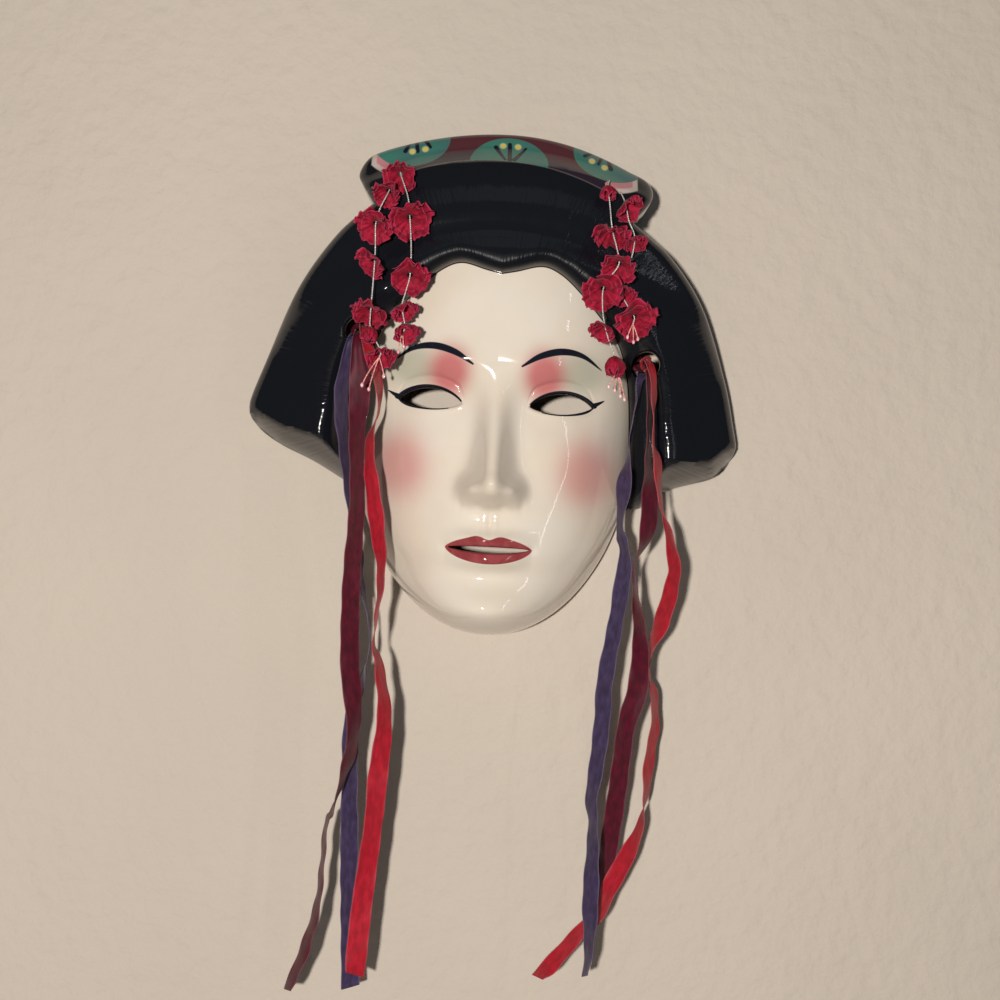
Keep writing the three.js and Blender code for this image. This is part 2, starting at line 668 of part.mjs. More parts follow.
function makeKnot({ at: [x, depth, z], halfSize }) {
  const geometry = new THREE.IcosahedronGeometry(1, 1);
  geometry.scale(...halfSize);
  geometry.translate(x, -depth, z);
  return toGeometry(toSolid(geometry));
}

function makeThread(route) {
  const { radius, sides, steps } = thread;
  const section = new THREE.Shape(
    circlePoints([0, 0], radius, sides).map(([x, y]) => new THREE.Vector2(x, y)),
  );
  const options = { steps, extrudePath: routeCurve(route), bevelEnabled: false };
  return new THREE.ExtrudeGeometry(section, options);
}

function place(geometry, [x, depth, z], lean, turn) {
  // Tips a piece that faces the front down by its lean, turns it and puts it in its place.
  geometry.rotateX(degToRad(lean));
  geometry.rotateZ(degToRad(turn));
  geometry.translate(x, -depth, z);
  return geometry;
}

function makeBlossom([at, width, lean, turn], route) {
  // A dished, lobed disc of fabric, as thick as a hem in the middle, pierced for its thread.
  const { petals, notch, dish, eye, thickness } = blossom;
  const around = (share, radius, y) => {
    const angle = share * 2 * Math.PI;
    return new THREE.Vector3(radius * Math.sin(angle), y, radius * Math.cos(angle));
  };
  const triangles = [];
  for (let i = 0; i < petals; i += 1) {
    const [start, tip, end] = [i / petals, (i + 0.5) / petals, (i + 1) / petals];
    const rim = [
      around(start, (notch * width) / 2, -dish * notch * width),
      around(tip, width / 2, -dish * width),
      around(end, (notch * width) / 2, -dish * notch * width),
    ];
    const [front, frontNext] = [around(start, eye, 0), around(end, eye, 0)];
    const [back, backNext] = [around(start, eye, thickness), around(end, eye, thickness)];
    triangles.push([front, rim[1], rim[0]], [front, frontNext, rim[1]]);
    triangles.push([frontNext, rim[2], rim[1]]);
    triangles.push([back, rim[0], rim[1]], [back, rim[1], backNext]);
    triangles.push([backNext, rim[1], rim[2]]);
    pushQuad(triangles, front, back, backNext, frontNext);
  }
  return place(closedGeometry(triangles), route[at], lean, turn);
}

function makeStamens(route, length) {
  const { count, spread, knotRadius, root, filament, bead } = stamens;
  const [x, depth, z] = route.at(-1);
  const top = z - fitGap - knotRadius;
  let spray = toSolid(new THREE.OctahedronGeometry(knotRadius).translate(x, -depth, top));
  for (let i = 0; i < count; i += 1) {
    const profile = [[0, 0], [filament, root], [filament, length - 2 * bead],
      [bead, length - bead], [0, length]].map(([radius, y]) => new THREE.Vector2(radius, y));
    const stalk = new THREE.LatheGeometry(profile, 4);
    stalk.rotateX(-Math.PI / 2);
    stalk.rotateY(degToRad(spread * (i - (count - 1) / 2)));
    stalk.translate(x, -depth, top);
    spray = spray.add(toSolid(stalk));
  }
  return toGeometry(spray);
}

const model = new THREE.Group();
const wallMask = new THREE.Group();
wallMask.position.z = -hangingHeight;
model.add(wallMask);

function addPiece(name, geometry, colour, roughness) {
  const material = new THREE.MeshStandardMaterial({ color: colour, roughness, metalness: 0 });
  const piece = new THREE.Mesh(geometry, material);
  piece.name = name;
  wallMask.add(piece);
  return piece;
}

addPiece('mask_shell', makeMaskShell(), colours.ivory, 0.12);
for (const [name, route] of Object.entries(ribbonRoutes)) {
  addPiece(`ribbon_${name}`, makeRibbon(route), colours[name.split('_')[1]], 0.45);
}
for (const [side, knot] of Object.entries(knots)) {
  addPiece(`knot_${side}`, makeKnot(knot), colours.burgundy, 0.45);
}
for (const [name, route] of Object.entries(threadRoutes)) {
  addPiece(`thread_${name}`, makeThread(route), colours.silver, 0.35);
  blossomRows[name].forEach((row, i) => {
    addPiece(`blossom_${name}_${i + 1}`, makeBlossom(row, route), colours.crimson, 0.8);
  });
  addPiece(`stamens_${name}`, makeStamens(route, stamenLengths[name]), colours.pink, 0.6);
}

export default model;
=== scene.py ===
# Geisha wall mask: a hollow glazed ceramic mask with a painted face, a black coiffure and a painted
# band, satin ribbons from a hole at each temple, and threads of small fabric blossoms.
import math

import bmesh
import bpy
import numpy as np
from mathutils import Matrix, Vector, noise


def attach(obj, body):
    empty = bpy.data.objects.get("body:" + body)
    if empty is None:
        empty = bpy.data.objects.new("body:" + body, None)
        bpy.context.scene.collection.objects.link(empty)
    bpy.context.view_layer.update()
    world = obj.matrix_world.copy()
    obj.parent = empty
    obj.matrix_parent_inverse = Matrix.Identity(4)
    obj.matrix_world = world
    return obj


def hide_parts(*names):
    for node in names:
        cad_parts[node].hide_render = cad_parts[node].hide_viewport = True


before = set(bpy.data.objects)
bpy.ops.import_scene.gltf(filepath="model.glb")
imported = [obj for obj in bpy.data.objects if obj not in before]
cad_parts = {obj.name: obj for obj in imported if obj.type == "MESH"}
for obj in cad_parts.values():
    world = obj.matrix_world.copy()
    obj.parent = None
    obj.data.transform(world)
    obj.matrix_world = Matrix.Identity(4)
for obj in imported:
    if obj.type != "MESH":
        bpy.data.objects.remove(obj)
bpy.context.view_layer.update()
print("frame loaded:", len(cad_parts), "solids")

# Places on the mask are [x, z] in millimetres with z = 0 at the middle of the face, and depths
# are millimetres out from the wall.
hangingHeight = 121.5
mm = 0.001


def inFrame(places):
    # millimetres, with forward of the wall as minus y, to the frame's metres
    return (places - [0, 0, hangingHeight]) * mm


def toFrame(x, depth, z):
    return inFrame(np.stack([x, -np.asarray(depth, float), z], -1))


def addToScene(name, data):
    made = bpy.data.objects.new(name, data)
    bpy.context.scene.collection.objects.link(made)
    return made


# Camera at the place of the photograph, with its small roll.
camera = {"place": (0.0043, -0.8, -0.1718), "roll": 2.9, "lens": 57.03, "sensor": 36, "clip": (0.02, 50)}


def makeCamera():
    data = bpy.data.cameras.new("camera")
    data.lens = camera["lens"]
    data.sensor_width = camera["sensor"]
    data.clip_start, data.clip_end = camera["clip"]
    roll = math.radians(camera["roll"])
    right = Vector((math.cos(roll), 0, math.sin(roll)))
    up = Vector((-math.sin(roll), 0, math.cos(roll)))
    viewer = addToScene("camera", data)
    viewer.matrix_world = Matrix((right, up, Vector((0, -1, 0)))).transposed().to_4x4()
    viewer.location = camera["place"]
    bpy.context.scene.camera = viewer


makeCamera()


# Small helpers for meshes, node trees and materials.
def makeObject(name, vertices, faces, smooth=True):
    mesh = bpy.data.meshes.new(name)
    mesh.from_pydata(np.asarray(vertices).tolist(), [], [list(face) for face in faces])
    mesh.update()
    if smooth:
        mesh.shade_smooth()
    return addToScene(name, mesh)


def makeSolid(name, vertices, faces, material=None, smooth=True):
    # a closed mesh with its faces turned outwards
    piece = makeObject(name, vertices, faces, smooth)
    bm = bmesh.new()
    bm.from_mesh(piece.data)
    bmesh.ops.recalc_face_normals(bm, faces=bm.faces)
    bm.to_mesh(piece.data)
    bm.free()
    if material:
        piece.data.materials.append(material)
    return piece


def setAttribute(mesh, name, kind, values):
    layer = mesh.attributes.new(name, kind, "POINT")
    field = "vector" if kind == "FLOAT_VECTOR" else "value"
    layer.data.foreach_set(field, np.asarray(values, np.float32).ravel())


def vertexArray(mesh):
    places = np.empty(len(mesh.vertices) * 3, np.float32)
    mesh.vertices.foreach_get("co", places)
    return places.reshape(-1, 3).astype(float)


def setUV(mesh, u, v):
    layer = mesh.uv_layers.new(name="clothUV")
    corners = np.empty(len(mesh.loops), np.int32)
    mesh.loops.foreach_get("vertex_index", corners)
    layer.data.foreach_set("uv", np.stack([u[corners], v[corners]], 1).astype(np.float32).ravel())


def addNode(tree, kind, inputs=None, **settings):
    made = tree.nodes.new(kind)
    for name, value in settings.items():
        setattr(made, name, value)
    for name, value in (inputs or {}).items():
        if isinstance(value, bpy.types.NodeSocket):
            tree.links.new(value, made.inputs[name])
        else:
            made.inputs[name].default_value = value
    return made


def outOf(tree, kind, inputs=None, output=0, **settings):
    return addNode(tree, kind, inputs, **settings).outputs[output]


def newTree(name, **inputs):
    # a geometry tree, what it is given, and the node that takes its result
    tree = bpy.data.node_groups.new(name, "GeometryNodeTree")
    tree.interface.new_socket("Geometry", in_out="INPUT", socket_type="NodeSocketGeometry")
    for label, kind in inputs.items():
        tree.interface.new_socket(label, in_out="INPUT", socket_type=f"NodeSocket{kind}")
    tree.interface.new_socket("Geometry", in_out="OUTPUT", socket_type="NodeSocketGeometry")
    return tree, tree.nodes.new("NodeGroupInput").outputs, tree.nodes.new("NodeGroupOutput")


def pointValues(tree, name, kind="FLOAT"):
    return outOf(tree, "GeometryNodeInputNamedAttribute", {"Name": name}, data_type=kind)


def markedPoints(tree, name):
    # the points where an attribute is one
    return outOf(tree, "FunctionNodeCompare", {0: pointValues(tree, name), 1: 0.5}, operation="GREATER_THAN")


def copiesOn(tree, points, shape, **inputs):
    inputs = {"Points": points, "Instance": shape, **inputs}
    return outOf(tree, "GeometryNodeInstanceOnPoints", inputs)


def madeOf(tree, geometry, material):
    return outOf(tree, "GeometryNodeSetMaterial", {"Geometry": geometry, "Material": material})


def joinAll(tree, *geometries):
    joined = addNode(tree, "GeometryNodeJoinGeometry")
    for geometry in geometries:
        tree.links.new(geometry, joined.inputs[0])
    return joined.outputs[0]


def growWith(piece, tree, values):
    # runs the tree on the piece and keeps the result as a plain mesh
    modifier = piece.modifiers.new(tree.name, "NODES")
    modifier.node_group = tree
    sockets = {
        item.name: item.identifier
        for item in tree.interface.items_tree
        if item.item_type == "SOCKET" and item.in_out == "INPUT"
    }
    for name, value in values.items():
        modifier[sockets[name]] = value
    return keepResult(piece)


def keepResult(piece):
    piece.update_tag()
    graph = bpy.context.evaluated_depsgraph_get()
    result = bpy.data.meshes.new_from_object(
        piece.evaluated_get(graph), preserve_all_data_layers=True, depsgraph=graph
    )
    piece.modifiers.clear()
    piece.data = result
    return piece


def newMaterial(name, **settings):
    material = bpy.data.materials.new(name)
    material.use_nodes = True
    tree = material.node_tree
    shader = tree.nodes["Principled BSDF"]
    for label, value in settings.items():
        shader.inputs[label.replace("_", " ")].default_value = value
    return material, tree, shader


def darker(colour, share):
    return tuple(share * value for value in colour)


def mixColours(tree, factor, first, second):
    mixer = addNode(tree, "ShaderNodeMix", data_type="RGBA")
    for index, value in ((0, factor), (6, first), (7, second)):
        if isinstance(value, bpy.types.NodeSocket):
            tree.links.new(value, mixer.inputs[index])
        else:
            mixer.inputs[index].default_value = (*value, 1) if isinstance(value, tuple) else value
    return mixer.outputs[2]


def ramp(tree, value, low, high, toLow=0.0, toHigh=1.0):
    # eases from one number to another as the value goes from low to high
    inputs = {"Value": value, "From Min": low, "From Max": high, "To Min": toLow, "To Max": toHigh}
    return outOf(tree, "ShaderNodeMapRange", inputs, interpolation_type="SMOOTHSTEP")


def maths(tree, operation, first, second=0.0):
    return outOf(tree, "ShaderNodeMath", {0: first, 1: second}, operation=operation)


def product(tree, first, second):
    return maths(tree, "MULTIPLY", first, second)


def attribute(tree, name):
    return outOf(tree, "ShaderNodeAttribute", output="Fac", attribute_name=name)


def objectPlaces(tree):
    return outOf(tree, "ShaderNodeTexCoord", output="Object")


def noiseAt(tree, coordinates, scale, detail=3.0):
    inputs = {"Vector": coordinates, "Scale": scale, "Detail": detail}
    return outOf(tree, "ShaderNodeTexNoise", inputs, "Fac")


def stretched(tree, coordinates, scale):
    return outOf(tree, "ShaderNodeMapping", {"Vector": coordinates, "Scale": scale})


def paintBetween(tree, shader, pattern, first, second, low=0.3):
    # the shader's colour goes from one to another as a pattern does, and the share of the second
    share = ramp(tree, pattern, low, 1 - low)
    tree.links.new(mixColours(tree, share, first, second), shader.inputs["Base Color"])
    return share


def addBump(tree, shader, height, strength, distance, under=None):
    inputs = {"Height": height, "Strength": strength, "Distance": distance}
    if under is not None:
        inputs["Normal"] = under
    normal = outOf(tree, "ShaderNodeBump", inputs)
    tree.links.new(normal, shader.inputs["Normal"])
    return normal


def finishPiece(piece, slotName, *nodes):
    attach(piece, "root")
    if nodes:
        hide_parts(*nodes)


# Smooth curves and soft forms.
def throughPoints(points, runOn=True, perSpan=40):
    # a smooth curve through the points: many places on it, and where each lies in the list
    points = np.array(points, float)
    before, after = (2 * points[0] - points[1], 2 * points[-1] - points[-2])
    if not runOn:
        before, after = points[0], points[-1]
    held = np.vstack([before, points, after])
    spans = len(points) - 1
    at = np.linspace(0, spans, spans * perSpan + 1)
    i = np.minimum(at.astype(int), spans - 1)
    t = (at - i)[:, None]
    p0, p1, p2, p3 = held[i], held[i + 1], held[i + 2], held[i + 3]
    v0, v1 = (p2 - p0) / 2, (p3 - p1) / 2
    places = (2 * p1 - 2 * p2 + v0 + v1) * t**3 + (3 * p2 - 3 * p1 - 2 * v0 - v1) * t**2 + v0 * t + p1
    return places, at


def evenly(places, count, at=None):
    # count + 1 places spaced evenly along the line, its length, and where each lies in the list
    steps = np.linalg.norm(np.diff(places, axis=0), axis=1)
    reach = np.concatenate([[0], np.cumsum(steps)])
    even = np.linspace(0, reach[-1], count + 1)
    spaced = np.stack([np.interp(even, reach, column) for column in places.T], 1)
    return spaced, reach[-1], None if at is None else np.interp(even, reach, at)


def stationsAlong(route, station):
    # even places along a route of [x, depth, z, ...], its length, and where each lies in the route
    places, at = throughPoints(np.array(route, float)[:, :3] * [1, -1, 1])
    count = round(np.linalg.norm(np.diff(places, axis=0), axis=1).sum() / station)
    return evenly(places, count, at)


def curveAt(points, at):
    # a smooth curve through [place, height] points, read at any places
    points = np.array(points, float)
    ends = np.clip(np.arange(len(points))[:, None] + [-1, 1], 0, len(points) - 1)
    rise = points[ends[:, 1]] - points[ends[:, 0]]
    slopes = rise[:, 1] / rise[:, 0]
    at = np.clip(at, points[0, 0], points[-1, 0])
    i = np.clip(np.searchsorted(points[:, 0], at, side="right") - 1, 0, len(points) - 2)
    span = points[i + 1, 0] - points[i, 0]
    t = (at - points[i, 0]) / span
    start = points[i, 1] * (1 + 2 * t) * (1 - t) ** 2 + slopes[i] * span * t * (1 - t) ** 2
    end = points[i + 1, 1] * t * t * (3 - 2 * t) - slopes[i + 1] * span * t * t * (1 - t)
    return start + end


def bell(offset, reach):
    return np.exp(-((offset / reach) ** 2))


def arch(x, halfWidth, bend=1.0):
    # one in the middle and zero at both ends
    return np.clip(1 - (x / halfWidth) ** 2, 0, 1) ** bend


def lerp(first, second, share):
    return first + (second - first) * share


def smoothStep(value, low, high):
    t = np.clip((value - low) / (high - low), 0, 1)
    return t * t * (3 - 2 * t)


def quarterRound(share):
    t = 1 - np.clip(share, 0, 1)
    return np.sqrt(1 - t * t)


def softMax(first, second, reach):
    h = np.maximum(reach - np.abs(first - second), 0) / reach
    return np.maximum(first, second) + h * h * reach / 4


def softMin(first, second, reach):
    return -softMax(-first, -second, reach)


def turnedBy(angle, first, second):
    # two coordinates turned together about the third axis
    cos, sin = math.cos(angle), math.sin(angle)
    return first * cos - second * sin, first * sin + second * cos


def unit(vectors):
    return vectors / np.linalg.norm(vectors, axis=1)[:, None]


def fullTurn(count):
    return 2 * math.pi * np.arange(count) / count


# Solids swept along a line.
def ringFaces(rings, around, closed=False):
    # the faces between neighbouring rings, and the numbers of their vertices
    index = np.arange(rings * around).reshape(rings, around)
    line = np.vstack([index, index[:1]]) if closed else index
    after = np.roll(line, -1, axis=1)
    faces = np.stack([line[:-1], line[1:], after[1:], after[:-1]], -1).reshape(-1, 4).tolist()
    return index, faces


def sweep(centre, reference, sideways, forwards, closed=False):
    # a section carried along a line, its sideways square to the line and to the reference
    step = np.roll(centre, -1, axis=0) - np.roll(centre, 1, axis=0) if closed else np.gradient(centre, axis=0)
    along = unit(step)
    across = unit(np.cross(along, reference))
    front = np.cross(across, along)
    ring = centre[:, None] + across[:, None] * sideways[..., None] + front[:, None] * forwards[..., None]
    index, faces = ringFaces(*ring.shape[:2], closed)
    if not closed:
        faces += [index[0][::-1].tolist(), index[-1].tolist()]
    return ring.reshape(-1, 3), faces


# Routes of the ribbons: [x, depth, z, turn of the flat side in degrees].
ribbon = {
    "width": 10,
    "gathered": {"width": 4, "until": 20, "openBy": 44},
    "thickness": 0.28,
    "cut": {"slant": 4, "over": 12},
    "station": 1.0,
    "columns": (0, 2, 3.6, 4.3, 4.6, 4.85, 5),
    "curl": {"height": 0.35, "slowness": 31},
    "ripple": {"height": 0.3, "every": 17, "lag": 2.1, "apart": 1.3},
    "pleat": {"height": 0.9, "halfTurns": 2.4},
    "stitch": {"length": 0.34, "width": 0.3, "height": 0.2},
}
ribbonRoutes = {
    "left_violet": [
        [-68, 34.5, 23.9, 10], [-68.2, 51.3, 23.5, 10], [-70.3, 55, 17, 35], [-73, 48, -6.5, 55],
        [-71.5, 43, -25.5, 65], [-66.5, 38, -58.5, 70], [-62, 37, -82.5, 75], [-60.5, 36, -94, 85],
        [-55.5, 35, -116.5, 92], [-56.5, 33, -133.5, 96], [-62, 30, -160.5, 140],
        [-61.5, 29, -195, 145], [-60.5, 27, -221, 155], [-60, 26, -249.5, 140],
        [-58, 25, -274, 155], [-57, 24, -292.5, 155],
    ],
    "left_burgundy": [
        [-66, 34.5, 26, 10], [-66, 52, 25.5, 10], [-66, 58, 18.5, 25], [-64, 56, -2, 20],
        [-64.5, 55, -25.5, 50], [-63, 54, -54, 50], [-64, 51, -91.5, 40], [-63, 48, -130, 35],
        [-60.5, 46, -149, 40], [-59.5, 45, -163.5, 60], [-61.5, 43, -178, 60],
        [-68, 41, -202.5, 98], [-71, 41, -210, 105], [-73.5, 39, -247, 110],
        [-79, 37, -271.5, 120], [-86.5, 36, -291.5, 110],
    ],
    "left_red": [
        [-64.5, 34.5, 28.5, 10], [-64, 53, 28, 10], [-61, 61, 19, 40], [-55, 62, 0.5, 75],
        [-54.5, 62, -11.5, 88], [-58, 61, -30, 120], [-53, 60, -62.5, 140], [-49.5, 57, -88.5, 115],
        [-51.5, 54, -119, 92], [-49, 53, -128.5, 75], [-45.5, 52, -147.5, 60],
        [-45, 51, -162, 45], [-47, 49, -186, 25], [-48, 48, -205, 35], [-51.5, 45, -244, 20],
        [-53, 44, -268.5, 15], [-53.5, 43, -280.5, 30],
    ],
    "right_violet": [
        [69, 31, 13.5, 10], [68.5, 46, 12.8, 10], [67, 50, 7.5, 45], [67, 47, 0.5, 75],
        [65, 44, -14, 80], [64, 44, -28, 95], [63, 44, -39, 130], [62, 44, -59.5, 100],
        [63.5, 44, -66.5, 120], [65.5, 42.5, -73.5, 115], [65, 42, -85.5, 135],
        [63, 43, -104.5, 130], [59, 44, -133.5, 135], [58.5, 44, -153, 135], [57, 44, -172, 130],
        [55, 43, -191, 120], [56.5, 43, -205.5, 115], [57, 43, -239, 135], [57.5, 43, -263, 110],
        [56.5, 43, -275.5, 100],
    ],
    "right_burgundy": [
        [71, 31, 16.5, 10], [71, 49, 16, 10], [71.5, 55, 9.5, 50], [71.5, 55, -4.5, 80],
        [73, 54, -29.5, 70], [75, 53, -47, 35], [74.5, 52, -63.5, 45], [70.5, 51, -75.5, 85],
        [70, 51, -85, 95], [74.5, 47, -113.5, 130], [74.5, 42, -138, 155],
        [70.5, 38, -155.5, 140], [68.5, 29, -188, 145], [67, 24, -208.5, 145],
        [65.5, 20, -229, 135], [64, 18, -244, 130], [63, 17, -257, 105],
    ],
    "right_red": [
        [70.5, 31, 19, 10], [71, 51, 18.5, 10], [73, 60, 9.5, 55], [74, 61.5, -7, 80],
        [75, 60.5, -21, 80], [77, 60, -28, 65], [79.5, 59.5, -46.5, 75], [84, 58, -60.5, 105],
        [87.5, 55, -74.5, 120], [88, 53, -84, 120], [84.5, 44, -103.5, 125], [80, 37, -119, 92],
        [81, 33, -134, 80], [84, 30, -143.5, 70], [85, 27, -158.5, 60], [83.5, 26, -173.5, 55],
        [83, 26, -188, 65], [80, 29, -207.5, 110], [71.5, 31, -226.5, 140],
        [66.5, 32, -236.5, 130], [63.5, 32, -246.5, 115], [52.5, 31, -259.5, 115],
        [40.5, 30, -274.5, 125], [34, 30, -281, 110],
    ],
}
# each satin's thread colour, a darker colour for the painted shade of its mottled sheen and for the hem's
# dark ribs, and a paler edge colour
satins = {
    "violet": {"thread": (0.050, 0.034, 0.098), "paintedShadeAndDarkRib": (0.022, 0.014, 0.042), "edge": (0.14, 0.10, 0.20)},
    "burgundy": {"thread": (0.095, 0.003, 0.016), "paintedShadeAndDarkRib": (0.042, 0.002, 0.008), "edge": (0.20, 0.03, 0.06)},
    "red": {"thread": (0.46, 0.006, 0.022), "paintedShadeAndDarkRib": (0.29, 0.003, 0.012), "edge": (0.56, 0.07, 0.10)},
}


def makeSatin(name):
    # fine streaks along the ribbon, a mottled sheen painted into the colour as patches of painted shade, and
    # ribbed edges, on the cloth's own coordinates
    colours = satins[name]
    material, tree, shader = newMaterial(
        f"{name} satin", Roughness=0.42, Sheen_Weight=0.05, Sheen_Roughness=0.4,
        Anisotropic=0.4, Specular_IOR_Level=0.3,
    )
    place = outOf(tree, "ShaderNodeUVMap", uv_map="clothUV")

    def bands(coordinates, **inputs):
        inputs = {"Vector": coordinates, **inputs}
        return outOf(tree, "ShaderNodeTexWave", inputs, "Fac", wave_type="BANDS", bands_direction="Y")

    across = outOf(tree, "ShaderNodeSeparateXYZ", {0: place})
    streaks = noiseAt(tree, stretched(tree, place, (90, 3, 1)), 1.0, 4)
    # painted sheen: the mottle darkens the thread's colour in patches of painted shade
    paintedSheen = noiseAt(tree, stretched(tree, place, (2.2, 0.9, 1)), 1.6, 3)
    tone = mixColours(tree, ramp(tree, paintedSheen, 0.3, 0.72), colours["paintedShadeAndDarkRib"], colours["thread"])
    tone = mixColours(tree, ramp(tree, streaks, 0.35, 0.75, 0, 0.22), tone, colours["edge"])
    fromMiddle = maths(tree, "ABSOLUTE", maths(tree, "SUBTRACT", across, 0.5))
    hem = ramp(tree, maths(tree, "SUBTRACT", 0.5, fromMiddle), 0.055, 0.035)
    rib = bands(stretched(tree, place, (0, 1, 1)), Scale=3.2)
    hemTone = mixColours(tree, ramp(tree, rib, 0.35, 0.65), colours["paintedShadeAndDarkRib"], colours["edge"])
    tone = mixColours(tree, product(tree, hem, 0.75), tone, hemTone)
    tree.links.new(tone, shader.inputs["Base Color"])
    picks = bands(place, Scale=8.0, Distortion=0.6)
    height = maths(tree, "ADD", streaks, product(tree, picks, 0.3))
    height = maths(tree, "ADD", height, product(tree, product(tree, hem, rib), 0.8))
    addBump(tree, shader, height, 0.5, 0.00012)
    return material


def makeYarn(name):
    material, tree, shader = newMaterial(f"{name} edge yarn", Roughness=0.55, Sheen_Weight=0.3)
    colour = satins[name]["edge"]
    fibres = noiseAt(tree, objectPlaces(tree), 900.0, 2)
    addBump(tree, shader, paintBetween(tree, shader, fibres, darker(colour, 0.5), colour, 0.35), 0.3, 0.0001)
    return material


satinMaterials = {name: makeSatin(name) for name in satins}
yarnMaterials = {name: makeYarn(name) for name in satins}


def makeStitchTree():
    # a small loop of yarn over the ribbon's edge at every marked point
    tree, given, result = newTree("edge stitches", Length="Float", Width="Float", Height="Float",
                                  Yarn="Material")
    turned = (0, 0, 0)
    for name, axis, pivot in (("edgeAlong", "Z", "AUTO"), ("edgeAcross", "X", "Z")):
        inputs = {"Rotation": turned, "Vector": pointValues(tree, name, "FLOAT_VECTOR")}
        turned = outOf(tree, "FunctionNodeAlignRotationToVector", inputs, axis=axis, pivot_axis=pivot)
    size = outOf(tree, "ShaderNodeCombineXYZ", {0: given["Width"], 1: given["Height"], 2: given["Length"]})
    loop = outOf(tree, "GeometryNodeMeshUVSphere", {"Segments": 6, "Rings": 4, "Radius": 1.0})
    placed = copiesOn(tree, given["Geometry"], loop, Selection=markedPoints(tree, "stitchHere"),
                      Rotation=turned, Scale=size)
    real = outOf(tree, "GeometryNodeRealizeInstances", {0: placed})
    yarn = madeOf(tree, outOf(tree, "GeometryNodeSetShadeSmooth", {0: real}), given["Yarn"])
    tree.links.new(joinAll(tree, yarn, given["Geometry"]), result.inputs[0])
    return tree


stitchTree = makeStitchTree()


def ribbonFrames(points, turns):
    along = unit(np.gradient(points, axis=0))
    across = unit(np.array([1.0, 0, 0]) - along * along[:, :1])
    angle = np.radians(-turns)[:, None]
    across = across * np.cos(angle) + np.cross(along, across) * np.sin(angle)
    return along, across, np.cross(across, along)


def makeRibbon(name, route, seed):
    # the ribbon, the places along its middle, and its length
    colour = name.split("_")[1]
    centre, length, at = stationsAlong(route, ribbon["station"])
    along, across, front = ribbonFrames(centre, curveAt([[i, place[3]] for i, place in enumerate(route)], at))
    run = np.linspace(0, length, len(centre))[:, None]
    gathered, cut, half = ribbon["gathered"], ribbon["cut"], ribbon["columns"]
    opened = np.clip((run - gathered["until"]) / (gathered["openBy"] - gathered["until"]), 0, 1)
    share = lerp(gathered["width"], ribbon["width"], opened) / ribbon["width"]
    columns = np.array([-s for s in half[:0:-1]] + list(half), float)
    side = columns / (ribbon["width"] / 2)
    # the cloth curls a little across, ripples along both edges and is pleated in its hole
    ripple, curl, pleat = ribbon["ripple"], ribbon["curl"], ribbon["pleat"]
    phase = 2 * math.pi * run / ripple["every"] + ripple["apart"] * seed + ripple["lag"] * side
    lift = (ripple["height"] * np.sin(phase) * np.abs(side) ** 3 * opened
            + curl["height"] * np.sin(run / curl["slowness"] + seed) * side**2 * opened
            + pleat["height"] * np.sin(pleat["halfTurns"] * math.pi * side) * (1 - opened))
    slant = cut["slant"] / 2 * smoothStep(run, length - cut["over"], length)
    base = centre[:, None] + across[:, None] * (columns * share)[..., None]
    base += along[:, None] * (side * slant)[..., None]
    thick = ribbon["thickness"] / 2
    top = base + front[:, None] * (lift + thick)[..., None]
    bottom = base + front[:, None] * (lift - thick)[..., None]
    ring = np.concatenate([top, bottom[:, ::-1]], 1)
    rings, around = ring.shape[:2]
    index, faces = ringFaces(rings, around)
    for end in (index[0], index[-1]):
        for j in range(len(columns) - 1):
            faces.append([end[j], end[j + 1], end[around - 2 - j], end[around - 1 - j]])
    piece = makeSolid(f"satin_ribbon_{name}", inFrame(ring.reshape(-1, 3)), faces, satinMaterials[colour])
    u = np.tile(np.concatenate([side, side[::-1]]) / 2 + 0.5, rings)
    setUV(piece.data, u, np.repeat(run / ribbon["width"], around))
    edgeHere = np.zeros((rings, around))
    edgeHere[1:-1, [0, len(columns) - 1]] = 1
    setAttribute(piece.data, "stitchHere", "FLOAT", edgeHere)
    setAttribute(piece.data, "edgeAlong", "FLOAT_VECTOR", np.repeat(along, around, axis=0))
    setAttribute(piece.data, "edgeAcross", "FLOAT_VECTOR", np.repeat(across, around, axis=0))
    stitch = {label.capitalize(): size * mm for label, size in ribbon["stitch"].items()}
    growWith(piece, stitchTree, {**stitch, "Yarn": yarnMaterials[colour]})
    for label in ("stitchHere", "edgeAlong", "edgeAcross"):
        piece.data.attributes.remove(piece.data.attributes[label])
    return piece, inFrame(centre), length * mm


ribbonPieces = {}
for seed, (name, route) in enumerate(ribbonRoutes.items()):
    piece, path, length = ribbonPieces[name] = makeRibbon(name, route, seed)
    finishPiece(piece, f"{name.split('_')[1]}_satin", f"ribbon_{name}")
    print(f"ribbon {name}: {length / mm:.0f} mm")

# The knots that keep the ribbons from pulling out, behind the holes, and the red ribbon's rolled
# loop that stands in the right hole.
knots = {
    "left": {"at": (-66.5, 30, 26), "halfSize": (7.6, 3.4, 6.2)},
    "right": {"at": (70.5, 26.5, 17), "halfSize": (7.6, 3.4, 6.2)},
}
knotBand = {"halfWidth": 1.1, "halfThickness": 0.5, "stations": 160, "round": 12, "clothRepeats": 9,
            "facing": (0.2, 1, 0.1)}
roll = {"at": (69.6, 56.0, 17.2), "radius": (2.5, 3.3), "halfLength": 2.25, "halfThickness": 0.22,
        "turns": 1.6, "from": 0.6, "closing": 0.3, "lean": 18, "skew": 0.25, "stations": 60, "round": 16}


